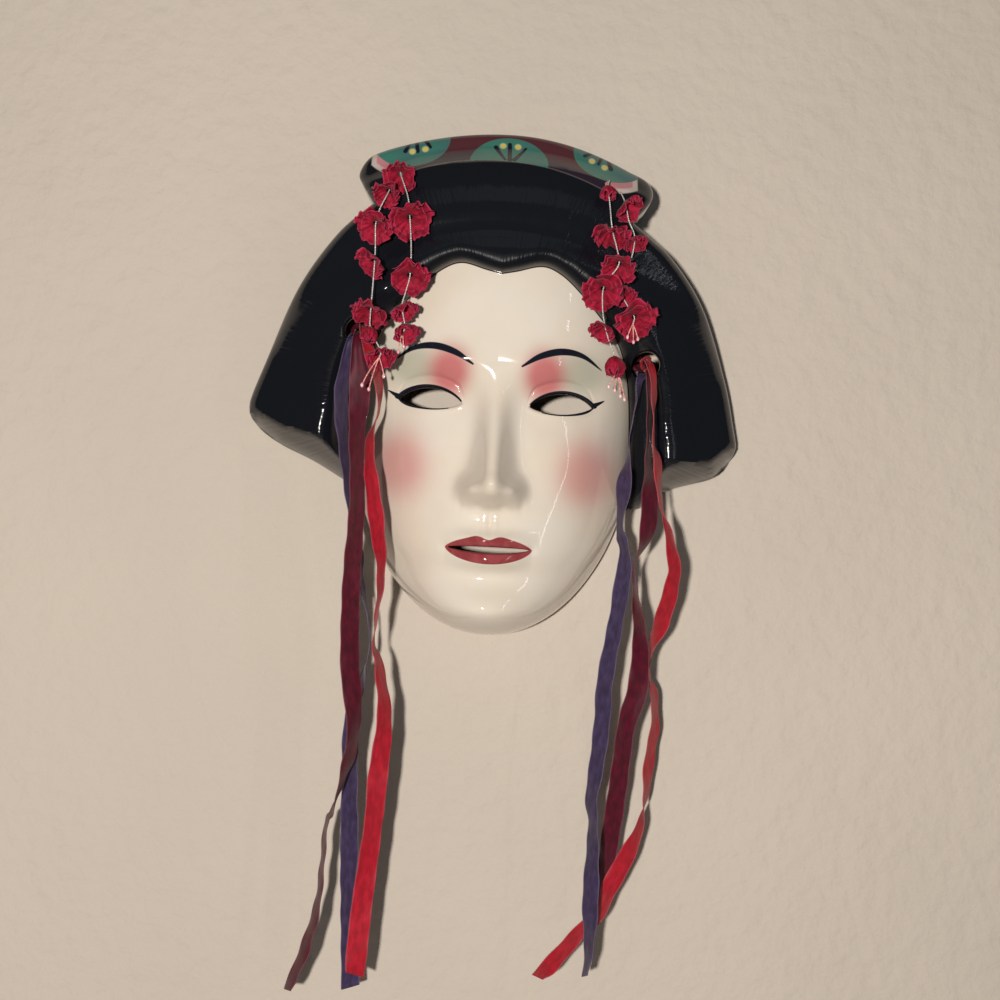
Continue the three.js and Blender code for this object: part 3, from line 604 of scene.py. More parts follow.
def makeKnot(side):
    # a trefoil of gathered ribbon, squeezed to its size
    t = fullTurn(knotBand["stations"])
    swing = 2 + np.cos(3 * t)
    line = np.stack([swing * np.cos(2 * t) / 3, np.sin(3 * t), swing * np.sin(2 * t) / 3], 1)
    wide, thin = knotBand["halfWidth"], knotBand["halfThickness"]
    line *= np.array(knots[side]["halfSize"]) - [wide, thin, wide]
    angle = fullTurn(knotBand["round"])
    ring, faces = sweep(line, knotBand["facing"], wide * np.cos(angle), thin * np.sin(angle), closed=True)
    places = toFrame(*(ring + knots[side]["at"]).T)
    piece = makeSolid(f"ribbon_knot_{side}", places, faces, satinMaterials["burgundy"])
    setUV(piece.data, np.tile(np.linspace(0, 1, len(angle)), len(t)),
          np.repeat(np.linspace(0, knotBand["clothRepeats"], len(t)), len(angle)))
    finishPiece(piece, "burgundy_satin", f"knot_{side}")
    return piece


def makeRoll():
    # a band of ribbon wound on itself, its open end to the front
    t = np.linspace(0, 1, roll["stations"])
    turn = 2 * math.pi * roll["turns"] * t + roll["from"]
    closing = 1 - roll["closing"] * t
    centre = np.stack([roll["radius"][0] * np.cos(turn) * closing, np.zeros_like(t),
                       roll["radius"][1] * np.sin(turn) * closing], 1)
    angle = fullTurn(roll["round"])
    ring, faces = sweep(centre, (0, 1.0, 0), roll["halfThickness"] * np.cos(angle),
                        roll["halfLength"] * np.sin(angle))
    y, z = turnedBy(math.radians(roll["lean"]), ring[:, 1], ring[:, 2])
    x, (atX, atDepth, atZ) = ring[:, 0] + roll["skew"] * ring[:, 1], roll["at"]
    places = toFrame(x + atX, atDepth - y, z + atZ)
    piece = makeSolid("satin_roll_right", places, faces, satinMaterials["red"])
    setUV(piece.data, np.tile(np.linspace(0, 1, len(angle)), len(t)), np.repeat(2 * t, len(angle)))
    finishPiece(piece, "red_satin")
    return piece


knotPieces = {side: makeKnot(side) for side in ("left", "right")}
rollPiece = makeRoll()

# Threads, their blossoms and stamens.
thread = {"radius": 0.4, "lobe": 0.2, "twist": 2.2, "station": 0.35, "sides": 12,
          "colour": (0.42, 0.39, 0.37), "paleColour": (0.82, 0.79, 0.75)}
threadRoutes = {
    "left_inner": [
        [-50, 56.5, 103], [-49.7, 61, 99.3], [-45.5, 66, 88], [-43.9, 68.5, 78], [-42.5, 70, 64],
        [-42.3, 71, 51.1], [-44, 70.5, 43], [-45.3, 70, 36.7], [-43.5, 70, 27.3], [-44.5, 70, 24.5],
    ],
    "left_outer": [
        [-54, 55.5, 98], [-54.6, 62.5, 90.8], [-58, 66, 82], [-59.5, 68, 74.5], [-59.2, 68.5, 66],
        [-59, 69, 57.9], [-59.3, 69, 46], [-59.7, 69, 34.8], [-59.5, 69.5, 26], [-56.5, 70, 20],
        [-54, 70.5, 15], [-54.5, 71, 12.5],
    ],
    "right_inner": [
        [48, 57, 102], [47.3, 62, 98.2], [48.5, 66, 87], [49.8, 68.5, 76.8], [52, 70, 69],
        [53.5, 71, 61.2], [50, 72, 55], [46.8, 72.5, 49.2], [47, 71.5, 40], [48.6, 70, 32.2],
        [51, 69.5, 25], [54, 69, 18.3], [55.5, 69, 11.5],
    ],
    "right_outer": [
        [53.5, 56, 97], [55.6, 62, 90.7], [57.5, 65, 82], [60.5, 66.5, 73.5], [58.5, 66.5, 60],
        [56, 66.5, 48.7], [59, 67, 42], [62, 67.5, 37.5], [61.5, 68, 34],
    ],
}

# Blossoms: [place in the route, width, lean down, turn to the right, how far the petals close].
blossomRows = {
    "left_inner": [
        [1, 14.5, 40, -10, 0.15], [3, 18.5, 38, 15, 0.1], [5, 16.5, 38, 10, 0.1], [7, 12.5, 50, 45, 0.25],
        [8, 13, 55, 20, 0.3],
    ],
    "left_outer": [
        [1, 13.5, 42, -20, 0.2], [3, 15.5, 38, -25, 0.1], [5, 15, 42, -50, 0.15], [7, 15.5, 60, -20, 0.15],
        [8, 12, 70, 0, 0.5], [10, 14, 55, 10, 0.25],
    ],
    "right_inner": [
        [1, 10.5, 70, 0, 0.4], [3, 16.2, 68, -20, 0.15], [5, 16, 45, -10, 0.15], [7, 17, 38, -10, 0.1],
        [9, 13.5, 55, -40, 0.25], [11, 15.5, 70, 0, 0.5],
    ],
    "right_outer": [
        [1, 14.5, 42, 48, 0.25], [3, 10.8, 60, 20, 0.2], [5, 12, 42, 20, 0.25], [7, 18, 38, 20, 0.1],
    ],
}
blossom = {
    "petals": 6, "eye": 1.2, "fuller": 1.1, "overEye": 0.4, "thickness": 0.2, "closeBy": 1.9,
    "lengthSpread": 0.07, "turnSpread": 0.16, "tilt": 0.16, "innerScale": 0.74, "nextLayer": 17,
    "fray": {"share": 0.07, "from": 0.97}, "ruffle": {"height": 0.07, "waves": 9, "sway": 3},
    "crumple": {"share": 0.06, "folds": 4.0, "fineFolds": 18, "seed": 19},
}
petal = {"rows": 8, "columns": 14, "foot": 0.10, "spread": 0.72, "tuck": 0.08, "round": 0.20, "notch": 0.05}
# the deep colour is both a random darker tone of the cloth and the painted shade at the eye
blossomColours = {"cloth": (0.36, 0.008, 0.034), "deepToneAndShade": (0.16, 0.003, 0.013), "edge": (0.40, 0.030, 0.08)}


def makeBlossomMaterial():
    # thin stiffened cloth: a fine weave, darkened towards the eye by painted shade where the petals cup, with
    # a frayed edge a little paler
    colours = blossomColours
    material, tree, shader = newMaterial(
        "crimson blossom cloth", Roughness=0.7, Sheen_Weight=0.08, Sheen_Roughness=0.35,
        Specular_IOR_Level=0.15,
    )
    place, rim = objectPlaces(tree), attribute(tree, "rim")
    patch = ramp(tree, noiseAt(tree, place, 330.0, 4), 0.35, 0.65)
    tone = mixColours(tree, patch, colours["deepToneAndShade"], colours["cloth"])
    # painted shade: the cloth darkens towards the eye, in the hollow where the petals meet
    tone = mixColours(tree, ramp(tree, rim, 0.42, 0.1, 0, 0.75), tone, colours["deepToneAndShade"])
    weave = noiseAt(tree, place, 2600.0, 1)
    tone = mixColours(tree, ramp(tree, weave, 0.5, 0.7, 0, 0.35), tone, colours["edge"])
    frayed = maths(tree, "ADD", rim, product(tree, noiseAt(tree, place, 1200.0, 2), 0.12))
    tone = mixColours(tree, ramp(tree, frayed, 0.96, 1.04, 0, 0.85), tone, colours["edge"])
    tree.links.new(tone, shader.inputs["Base Color"])
    addBump(tree, shader, maths(tree, "ADD", weave, patch), 0.55, 0.0002)
    return material


def makePetal():
    # one flat petal, one unit long, narrow at the eye and round at its frilled tip
    p = np.linspace(0, 1, petal["rows"] + 1)[:, None]
    q = np.linspace(-1, 1, petal["columns"] + 1)[None, :]
    x = q * (petal["foot"] + petal["spread"] * p**0.85 - petal["tuck"] * p**5)
    y = p * (1 - petal["round"] * q**2) - petal["notch"] * bell(q, 0.2) * p**6
    index = np.arange(x.size).reshape(x.shape)
    faces = np.stack([index[:-1, :-1], index[:-1, 1:], index[1:, 1:], index[1:, :-1]], -1).reshape(-1, 4)
    rim = np.maximum(p, np.abs(q) ** 3 * p**0.3)
    return np.stack([x, y, np.zeros_like(x)], -1).reshape(-1, 3), faces, rim.ravel()


def makePetalTree():
    # petals around the eye in two layers, each a little different
    tree, given, result = newTree("blossom petals", Petals="Int", Eye="Float", Length="Float", Spread="Float",
                                  Turn="Float", Tilt="Float", Inner="Float", Seed="Int", Cloth="Material")

    def randomValue(low, high, seed, kind, output):
        inputs = {low[0]: low[1], high[0]: high[1], "Seed": seed}
        return outOf(tree, "FunctionNodeRandomValue", inputs, output, data_type=kind)

    layers = []
    for layer in range(2):
        circle = outOf(tree, "GeometryNodeMeshCircle", {"Vertices": given["Petals"], "Radius": given["Eye"]})
        facing = outOf(tree, "FunctionNodeAlignRotationToVector",
                       {"Vector": outOf(tree, "GeometryNodeInputPosition")}, axis="Y", pivot_axis="Z")
        seed = maths(tree, "ADD", given["Seed"], float(blossom["nextLayer"] * layer))
        swing = randomValue(("Min", (-1.0, -1.0, -1.0)), ("Max", (1.0, 1.0, 1.0)), seed, "FLOAT_VECTOR", 0)
        swing = outOf(tree, "ShaderNodeVectorMath", {0: swing, "Scale": given["Turn"]}, operation="SCALE")
        lifted = outOf(tree, "ShaderNodeCombineXYZ", {0: product(tree, given["Tilt"], 1.0 + layer)})
        both = outOf(tree, "ShaderNodeVectorMath", {0: swing, 1: lifted})
        wobble = outOf(tree, "FunctionNodeRotateRotation", {"Rotation": facing, "Rotate By": both},
                       rotation_space="LOCAL")
        least = maths(tree, "SUBTRACT", 1.0, given["Spread"])
        most = maths(tree, "ADD", 1.0, given["Spread"])
        length = randomValue((2, least), (3, most), maths(tree, "ADD", seed, 5.0), "FLOAT", 1)
        size = product(tree, length, given["Length"])
        if layer:
            size = product(tree, size, given["Inner"])
        layers.append(copiesOn(tree, circle, given["Geometry"], Rotation=wobble, Scale=size))
    real = outOf(tree, "GeometryNodeRealizeInstances", {0: joinAll(tree, *layers)})
    tree.links.new(madeOf(tree, real, given["Cloth"]), result.inputs[0])
    return tree


blossomMaterial = makeBlossomMaterial()
petalTree = makePetalTree()
petalVertices, petalFaces, petalRim = makePetal()


def makeBlossom(name, row, route, seed):
    at, width, lean, turn, closing = row
    piece = makeObject(f"cloth_{name}", petalVertices, petalFaces)
    setAttribute(piece.data, "rim", "FLOAT", petalRim)
    growWith(piece, petalTree, {
        "Petals": blossom["petals"], "Eye": blossom["eye"], "Spread": blossom["lengthSpread"],
        "Length": blossom["fuller"] * width / 2 - blossom["overEye"] * blossom["eye"],
        "Turn": blossom["turnSpread"], "Tilt": blossom["tilt"], "Inner": blossom["innerScale"],
        "Seed": seed, "Cloth": blossomMaterial,
    })
    mesh = piece.data
    p = vertexArray(mesh)
    rims = np.empty(len(p), np.float32)
    mesh.attributes["rim"].data.foreach_get("value", rims)
    angle = np.arctan2(p[:, 1], p[:, 0])
    share = np.hypot(p[:, 0], p[:, 1]) / (width / 2)
    # folds run out from the eye, the rim is ruffled, and all of it is a little crumpled
    crumple, ruffle, fray = blossom["crumple"], blossom["ruffle"], blossom["fray"]
    folds, fineFolds = crumple["folds"] / width, crumple["fineFolds"] / width
    shift = np.array([noise.noise_vector(Vector(v) * folds + Vector((seed, 0, 0))) for v in p])
    fine = np.array([noise.noise(Vector(v) * fineFolds + Vector((0, seed, 3))) for v in p])
    waves = np.sin(ruffle["waves"] * angle + ruffle["sway"] * np.sin(2 * angle + seed) + seed)
    p[:, 2] += width * (ruffle["height"] * waves * share**2 + crumple["share"] / 2 * fine * share)
    p += shift * (width * crumple["share"] * share)[:, None]
    p[:, :2] *= (1 + fray["share"] * np.where(rims > fray["from"], fine, 0))[:, None]
    # the petals close towards the front like an umbrella
    distance = np.hypot(p[:, 0], p[:, 1])
    radial = p[:, :2] / np.maximum(distance, 1e-6)[:, None]
    bend = closing * blossom["closeBy"] * share
    p[:, :2] = radial * (distance * np.cos(bend) - p[:, 2] * np.sin(bend))[:, None]
    p[:, 2] = distance * np.sin(bend) + p[:, 2] * np.cos(bend)
    # from flat on its back to facing the front, tipped down and turned
    y, z = turnedBy(math.radians(lean), -p[:, 2], p[:, 1])
    x, y = turnedBy(math.radians(turn), p[:, 0], y)
    atX, atDepth, atZ = route[at]
    places = toFrame(x + atX, atDepth - y, z + atZ)
    mesh.vertices.foreach_set("co", places.astype(np.float32).ravel())
    mesh.update()
    layer = piece.modifiers.new("cloth", "SOLIDIFY")
    layer.thickness = blossom["thickness"] * mm
    layer.offset = 0
    keepResult(piece)
    piece.data.shade_smooth()
    finishPiece(piece, "crimson_blossom", f"blossom_{name}")
    return piece


stamenSprays = {
    "left_inner": {"tips": [(-1.5, 0.6, -9.0), (0.9, 1.2, -6.6)], "bead": 0.8},
    "left_outer": {"tips": [(-7.2, 1.0, -13.2), (-3.9, 1.6, -15.0), (2.6, 0.8, -8.6)], "bead": 0.85},
    "right_inner": {"tips": [(-3.8, 0.8, -7.0), (-1.0, 1.4, -8.7), (1.8, 1.0, -11.2), (3.8, 0.6, -12.6)],
                    "bead": 0.8},
    "right_outer": {"tips": [(-2.2, 0.8, -6.2), (0.6, 1.4, -8.4), (2.6, 0.6, -6.8)], "bead": 0.75},
}
stamen = {"filament": 0.28, "stations": 10, "bow": 0.8, "bowOut": 0.35, "beadShape": (0.9, 0.9, 1.35)}
stamenColours = {"stalk": (0.55, 0.16, 0.15), "paleStalk": (0.85, 0.42, 0.36), "pearl": (0.72, 0.26, 0.32),
                 "palePearl": (0.92, 0.62, 0.62)}


def makeStamenMaterials():
    colours = stamenColours
    stalks, tree, shader = newMaterial("pink stamen thread", Roughness=0.45, Sheen_Weight=0.2)
    wound = noiseAt(tree, stretched(tree, objectPlaces(tree), (400, 400, 1800)), 1.0, 1)
    paintBetween(tree, shader, wound, colours["stalk"], colours["paleStalk"], 0.35)
    addBump(tree, shader, wound, 0.4, 0.0001)
    pearl, tree, shader = newMaterial(
        "pearly stamen tip", Roughness=0.22, Coat_Weight=0.6, Coat_Roughness=0.1,
        Subsurface_Weight=0.2, Subsurface_Scale=0.001,
    )
    cloud = noiseAt(tree, objectPlaces(tree), 700.0, 2)
    paintBetween(tree, shader, cloud, colours["pearl"], colours["palePearl"])
    return stalks, pearl


def makeStamenTree():
    # a thin stalk along every line, with a bead at its free end
    tree, given, result = newTree("stamen spray", Filament="Float", Bead="Float", Stalk="Material",
                                  Pearl="Material")
    lines = outOf(tree, "GeometryNodeMeshToCurve", {0: given["Geometry"]})
    section = outOf(tree, "GeometryNodeCurvePrimitiveCircle", {"Resolution": 8, "Radius": given["Filament"]})
    inputs = {"Curve": lines, "Profile Curve": section, "Fill Caps": True}
    stalks = madeOf(tree, outOf(tree, "GeometryNodeCurveToMesh", inputs), given["Stalk"])
    ball = outOf(tree, "GeometryNodeMeshIcoSphere", {"Radius": given["Bead"], "Subdivisions": 3})
    tips = markedPoints(tree, "tip")
    beads = copiesOn(tree, given["Geometry"], ball, Selection=tips, Scale=stamen["beadShape"])
    beads = madeOf(tree, outOf(tree, "GeometryNodeRealizeInstances", {0: beads}), given["Pearl"])
    smooth = outOf(tree, "GeometryNodeSetShadeSmooth", {0: joinAll(tree, beads, stalks)})
    tree.links.new(smooth, result.inputs[0])
    return tree


stalkMaterial, pearlMaterial = makeStamenMaterials()
stamenTree = makeStamenTree()


def makeStamens(name, route):
    spray = stamenSprays[name]
    root = np.array(route[-1], float)
    lines, edges, tips = [], [], []
    t = np.linspace(0, 1, stamen["stations"])[:, None]
    for tip in spray["tips"]:
        bow = np.array([tip[0] * stamen["bowOut"], stamen["bow"], 0.0])
        start = len(lines)
        lines += (root + np.array(tip) * t + bow * t * (1 - t)).tolist()
        edges += [[start + i, start + i + 1] for i in range(stamen["stations"] - 1)]
        tips += [0.0] * (stamen["stations"] - 1) + [1.0]
    mesh = bpy.data.meshes.new(f"stamen_spray_{name}")
    mesh.from_pydata(toFrame(*np.array(lines).T).tolist(), edges, [])
    setAttribute(mesh, "tip", "FLOAT", tips)
    piece = addToScene(f"stamen_spray_{name}", mesh)
    growWith(piece, stamenTree, {
        "Filament": stamen["filament"] * mm, "Bead": spray["bead"] * mm,
        "Stalk": stalkMaterial, "Pearl": pearlMaterial,
    })
    finishPiece(piece, "pink_stamens", f"stamens_{name}")
    return piece


def makeThreadMaterial():
    material, tree, shader = newMaterial("silvery thread", Roughness=0.32, Metallic=0.35, Sheen_Weight=0.2)
    fibres = noiseAt(tree, stretched(tree, objectPlaces(tree), (900, 900, 2600)), 1.0, 2)
    paintBetween(tree, shader, fibres, thread["colour"], thread["paleColour"])
    addBump(tree, shader, fibres, 0.5, 0.0001)
    return material


def makeThread(name, route, material):
    # two plies twisted together, the places along their middle, and the length
    centre, length, _ = stationsAlong(route, thread["station"])
    run = np.linspace(0, length, len(centre))[:, None]
    angle = fullTurn(thread["sides"])
    radius = thread["radius"] * (1 - thread["lobe"] + thread["lobe"] * np.cos(2 * angle))
    turned = angle + 2 * math.pi * run / thread["twist"]
    ring, faces = sweep(centre, (0, 1.0, 0), radius * np.cos(turned), radius * np.sin(turned))
    piece = makeSolid(f"silver_thread_{name}", inFrame(ring), faces, material)
    finishPiece(piece, "silver_thread", f"thread_{name}")
    return piece, inFrame(centre), length * mm


threadMaterial = makeThreadMaterial()
# without a fixed seed the large folds would take new offsets in every run
noise.seed_set(blossom["crumple"]["seed"])
seed, seedStep = 3, 7
for name, route in threadRoutes.items():
    piece, path, length = makeThread(name, route, threadMaterial)
    for i, row in enumerate(blossomRows[name]):
        makeBlossom(f"{name}_{i + 1}", row, route, seed)
        seed += seedStep
    makeStamens(name, route)

# The mask: the same outline and forms as its solid, in millimetres, with finer relief and its paint.
crownArc = {"top": 125.2, "end": 58}
outline = {
    "right": {
        "crownRadius": 113,
        "corner": [[66.2, 106.5], [69.8, 102], [69.8, 97], [66.7, 91.5], [60.4, 84]],
        "shoulder": [[70.4, 76.4], [79.4, 69.5], [92.7, 54.2], [102.3, 37.8], [112.3, 11.2]],
        "tip": [[117.6, -10], [119.2, -17.8], [118.4, -25.4]],
        "underside": [[110.7, -34], [89.5, -41], [74.5, -51]],
        "jawStart": -52.5,
    },
    "left": {
        "crownRadius": 165,
        "corner": [[66.3, 110.9], [71, 103], [69, 97.2], [62.7, 87]],
        "shoulder": [[68.4, 82.5], [79, 73], [93.5, 54.6], [103.8, 36.9], [114.3, 11.6]],
        "tip": [[120.8, -4.9], [121.8, -11.3], [119.4, -19.3]],
        "underside": [[107.7, -27.7], [90.5, -35.4], [75.5, -43.7]],
        "jawStart": -47,
    },
}
hair = {
    "line": [[0, 55.5], [7, 57], [19, 60], [28.4, 56.5], [38, 48.4], [46.7, 39.5], [56, 29.5],
             [61.5, 17], [64.8, 1], [66.5, -22], [67.2, -45.6], [67.6, -57]],
    "shoulder": 4,
    "crown": {"depth": 68, "centre": 47, "halfWidth": 118, "halfHeight": 97, "sideBend": 2.2, "topBend": 2.6},
    "bunValley": {"line": 76, "radius": 130, "depth": 2.2, "reach": 7},
    "band": {"line": 108, "radius": 190, "slope": 0.75},
    "wing": {"depth": 44, "at": 78, "fall": 0.5, "blend": 8},
    "channel": {"step": 7, "lowest": 24, "rise": 0.9, "lowBlend": 6, "blend": 5},
    "underside": {"foot": 7, "slope": 2.6, "blend": 3},
    "rim": {"round": 6, "roundMost": 0.7},
    "comb": {"centre": (0, -8), "radius": 160, "every": 3.4, "height": 0.12,
             "sway": {"size": 1.5, "every": 19, "turns": 3}, "fade": {"every": 13, "turns": 5},
             "fromFace": (1, 9), "fromRim": (4, 14)},
}
face = {
    "jaw": {"centre": -20, "halfWidth": 69.5, "height": 98, "widensOver": 40},
    "halfWidth": 72,
    "sideBend": 2.3,
    "profile": [[-130, 57], [-118, 57.5], [-99, 58.5], [-86, 55.5], [-74, 59], [-60, 58.5], [-51, 57.5],
                [-30, 57.5], [-5, 58], [14, 61.5], [35, 61.8], [56, 60], [90, 52], [140, 35]],
    "chinRound": 17,
    "noseHeights": [[-60, 0], [-55.5, 2], [-52, 11], [-48, 20], [-43, 23], [-36, 19.5], [-24, 13.5],
                    [-8, 6.5], [4, 2.5], [14, 0]],
    "noseWidths": [[-60, 8], [-48, 9], [-42, 8.5], [-24, 7.5], [-8, 7.5], [14, 10]],
    "noseBend": 2.2,
    "mouth": {"height": -74, "curve": 0.0016},
    "upperLip": {"above": 4.6, "up": 4.2, "halfWidth": 24, "rise": 5},
    "lowerLip": {"above": -5.2, "up": 4.6, "halfWidth": 21, "rise": 5.5},
    "lipFade": 1.6,
    # soft forms on both sides: x, z, reach across, reach up, rise
    "sideForms": [(27, 14, 19, 7, 2.5), (31, -4, 17, 10, -8), (31, -6, 12, 7.5, 6), (42, -30, 17, 15, 3),
                  (10.8, -46, 4.8, 5.8, 8.5)],
    "chin": (0, -103, 14, 9, 3),
    # fine relief that only shows close up, in the same form
    "fineForms": [(5.6, -53.4, 2.3, 1.4, -1.6), (2.6, -60.5, 1.2, 5, 0.45), (0, -60.5, 1.3, 5.5, -0.5),
                  (20.5, -73.4, 2.2, 2.2, -0.8), (14.6, -51, 1.4, 5, -0.5)],
}
eyeHole = {"at": (31, -5), "width": 30, "above": 6.2, "below": 3.6, "tilt": 3, "bend": 0.8}
eyelid = {"crease": 5.2, "creaseDepth": 0.7, "creaseReach": 1.0, "edge": 0.45, "edgeReach": 1.1,
          "edgeGap": 1.2, "fit": 0.94, "beyond": 3, "fade": 0.3}
mouthSlot = {"width": 38, "height": 3, "bend": 0.6}
templeHoles = {"at": ((70.5, 17), (-66.5, 26)), "radius": 6.5}
edgeRoll = {"temple": 1.6, "eye": 0.9, "mouth": 1.1}
unevenness = {"height": 0.12, "across": 11, "up": 13, "shift": 0.7, "sway": {"size": 1.3, "every": 17},
              "fromRim": (2, 12)}
hanger = {"halfWidth": 15, "top": 121, "bottom": 106.5, "cornerRadius": 6, "thickness": 5,
          "holeHeight": 112.5, "holeRadius": 2.5}
wall = {"thickness": 5, "shares": (0.5, 0.85, 1.0), "around": 16}
maskGrid = {"crown": 22, "corner": 22, "wing": 62, "jaw": 46, "face": 44, "hair": 18, "shoulder": 9,
            "rim": 15, "innerFace": 16, "innerHair": 14, "innerBend": 1.7, "innerFaceMost": 0.8,
            "jawFirst": 2, "jawMore": 0.85, "jawMost": 20, "join": 3, "hairline": 90, "atOnce": 3000,
            "rimWidth": (14, 0.6), "shoulderWidth": (4.5, 0.25), "halvings": 18, "rimSteps": 40}
spineHeights = [[-118, -88], [-50, -42], [90, 44], [128, 50]]


def spacedLine(points, count):
    return evenly(throughPoints(points, runOn=False)[0], count)[0]


def halfOutline(side):
    # one side's outline from the middle of the crown to the chin
    top = np.linspace(0, crownArc["end"], maskGrid["crown"] + 1)
    top = np.stack([top, crownArc["top"] - top**2 / (2 * side["crownRadius"])], 1)
    corner = spacedLine([top[-1].tolist(), *side["corner"]], maskGrid["corner"])
    wing = [side["corner"][-1], *side["shoulder"], *side["tip"], *side["underside"]]
    wing = spacedLine(wing, maskGrid["wing"])
    jaw = face["jaw"]
    start = math.asin((side["jawStart"] - jaw["centre"]) / jaw["height"])
    angle = np.linspace(start, -math.pi / 2, maskGrid["jaw"] + 1)
    chin = np.stack([jaw["halfWidth"] * np.cos(angle), jaw["centre"] + jaw["height"] * np.sin(angle)], 1)
    chin[-1, 0] = 0
    join = lerp(wing[-1], chin[0], np.linspace(0, 1, maskGrid["join"] + 2)[1:-1, None])
    return np.vstack([top[:-1], corner[:-1], wing, join, chin])


mirror = np.array([-1, 1])
rightOutline, leftOutline = halfOutline(outline["right"]), halfOutline(outline["left"]) * mirror
outlineLoop = np.vstack([rightOutline, leftOutline[-2:0:-1]])
closedOutline = np.vstack([outlineLoop, outlineLoop[:1]])
undersideLines = [
    np.array([outline[name]["tip"][-1], *outline[name]["underside"]]) * turn
    for name, turn in (("right", 1), ("left", mirror))
]
rightHairline = spacedLine(hair["line"], maskGrid["hairline"])
hairline = np.vstack([(rightHairline * mirror)[:0:-1], rightHairline])
faceOpening = np.vstack([[-90, -60], hairline, [90, -60], [90, -140], [-90, -140]])


def nearestOn(line, x, z):
    # the distance to a line, and the nearest place on it, for some thousands of places at once
    start, step = line[:-1], np.diff(line, axis=0)
    square = (step**2).sum(1)
    distance, place = np.empty(len(x)), np.empty((len(x), 2))
    places = np.stack([x, z], 1)
    for i in range(0, len(x), maskGrid["atOnce"]):
        some = slice(i, i + maskGrid["atOnce"])
        p = places[some, None]
        t = np.clip(((p - start) * step).sum(-1) / square, 0, 1)
        spot = start + t[..., None] * step
        gap = np.linalg.norm(p - spot, axis=-1)
        best = gap.argmin(1)
        rows = np.arange(len(best))
        distance[some], place[some] = gap[rows, best], spot[rows, best]
    return distance, place


def isInside(loop, x, z):
    # a place is inside when a line from it to the right meets the loop an odd number of times
    inside = np.zeros(len(x), bool)
    for (ax, az), (bx, bz) in zip(loop, np.roll(loop, -1, axis=0)):
        if az != bz:
            inside ^= ((az > z) != (bz > z)) & (x < ax + (z - az) / (bz - az) * (bx - ax))
    return inside


def almond(u):
    # heights of the eye hole's upper and lower edges at a place along it
    room = arch(u, eyeHole["width"] / 2, eyeHole["bend"])
    return eyeHole["above"] * room, -eyeHole["below"] * room


def eyeFrame(x, z):
    # places along and above the middle of the nearer eye, its outer corner to the right
    atX, atZ = eyeHole["at"]
    return turnedBy(-math.radians(eyeHole["tilt"]), np.abs(x) - atX, z - atZ)


def lens(across, upper, lower):
    # one loop from an upper and a lower edge that meet at both ends
    return np.concatenate([across, across[-2:0:-1]]), np.concatenate([upper, lower[-2:0:-1]])


def eyeLoop(side, count=40):
    u = eyeHole["width"] / 2 * np.cos(np.linspace(0, math.pi, count + 1))
    along, above = turnedBy(math.radians(eyeHole["tilt"]), *lens(u, *almond(u)))
    return np.stack([side * (eyeHole["at"][0] + along), eyeHole["at"][1] + above], 1)


def mouthLoop(count=40):
    half = mouthSlot["width"] / 2
    x = half * np.cos(np.linspace(0, math.pi, count + 1))
    middle = face["mouth"]["height"] + face["mouth"]["curve"] * x**2
    raised = mouthSlot["height"] / 2 * arch(x, half, mouthSlot["bend"])
    return np.stack(lens(x, middle + raised, middle - raised), 1)


def circleLoop(centre, radius, count=48):
    angle = fullTurn(count)
    return np.stack([centre[0] + radius * np.cos(angle), centre[1] + radius * np.sin(angle)], 1)


holeLoops = {
    "eye": [eyeLoop(1), eyeLoop(-1)],
    "mouth": [mouthLoop()],
    "temple": [circleLoop(at, templeHoles["radius"]) for at in templeHoles["at"]],
}


def addForm(form, x, z):
    atX, atZ, across, up, rise = form
    return rise * bell(x - atX, across) * bell(z - atZ, up)


def lipRise(lip, x, above):
    return lip["rise"] * bell(above - lip["above"], lip["up"]) * arch(x, lip["halfWidth"], face["lipFade"])


def aboveMouth(x, z):
    return z - face["mouth"]["height"] - face["mouth"]["curve"] * x**2


def faceDepth(x, z, detail=True):
    # the face's forms, rounded off towards both sides and the chin
    jaw, side = face["jaw"], np.abs(x)
    below = np.clip((z - jaw["centre"]) / jaw["height"], -1, 0)
    width = jaw["halfWidth"] * np.sqrt(1 - below**2)
    reach = lerp(width, face["halfWidth"], np.clip((z - jaw["centre"]) / jaw["widensOver"], 0, 1))
    fromChin = z - (jaw["centre"] - jaw["height"])
    depth = curveAt(face["profile"], z) * quarterRound(fromChin / face["chinRound"])
    for form in face["sideForms"]:
        depth = depth + addForm(form, side, z)
    depth += addForm(face["chin"], x, z)
    noseShare = (side / curveAt(face["noseWidths"], z)) ** face["noseBend"]
    depth += curveAt(face["noseHeights"], z) * np.exp(-noseShare)
    if detail:
        above = aboveMouth(x, z)
        depth += lipRise(face["upperLip"], x, above) + lipRise(face["lowerLip"], x, above)
        depth += fineFace(x, z)
    return depth * np.sqrt(np.clip(1 - (side / np.maximum(reach, 1e-6)) ** face["sideBend"], 0, 1))


def fineFace(x, z):
    # eyelid creases, lid edges, nostrils, the groove under the nose and the corners of the mouth
    side = np.abs(x)
    u, w = eyeFrame(x, z)
    upper, lower = almond(u * eyelid["fit"])
    within = smoothStep(1 - np.abs(u) / (eyeHole["width"] / 2 + eyelid["beyond"]), 0, eyelid["fade"])
    fromCrease = w - upper - eyelid["crease"] * within
    rise = -eyelid["creaseDepth"] * bell(fromCrease, eyelid["creaseReach"]) * within
    for fromEdge in (w - upper - eyelid["edgeGap"], w - lower + eyelid["edgeGap"]):
        rise += eyelid["edge"] * bell(fromEdge, eyelid["edgeReach"]) * within
    for form in face["fineForms"]:
        rise = rise + addForm(form, side, z)
    return rise


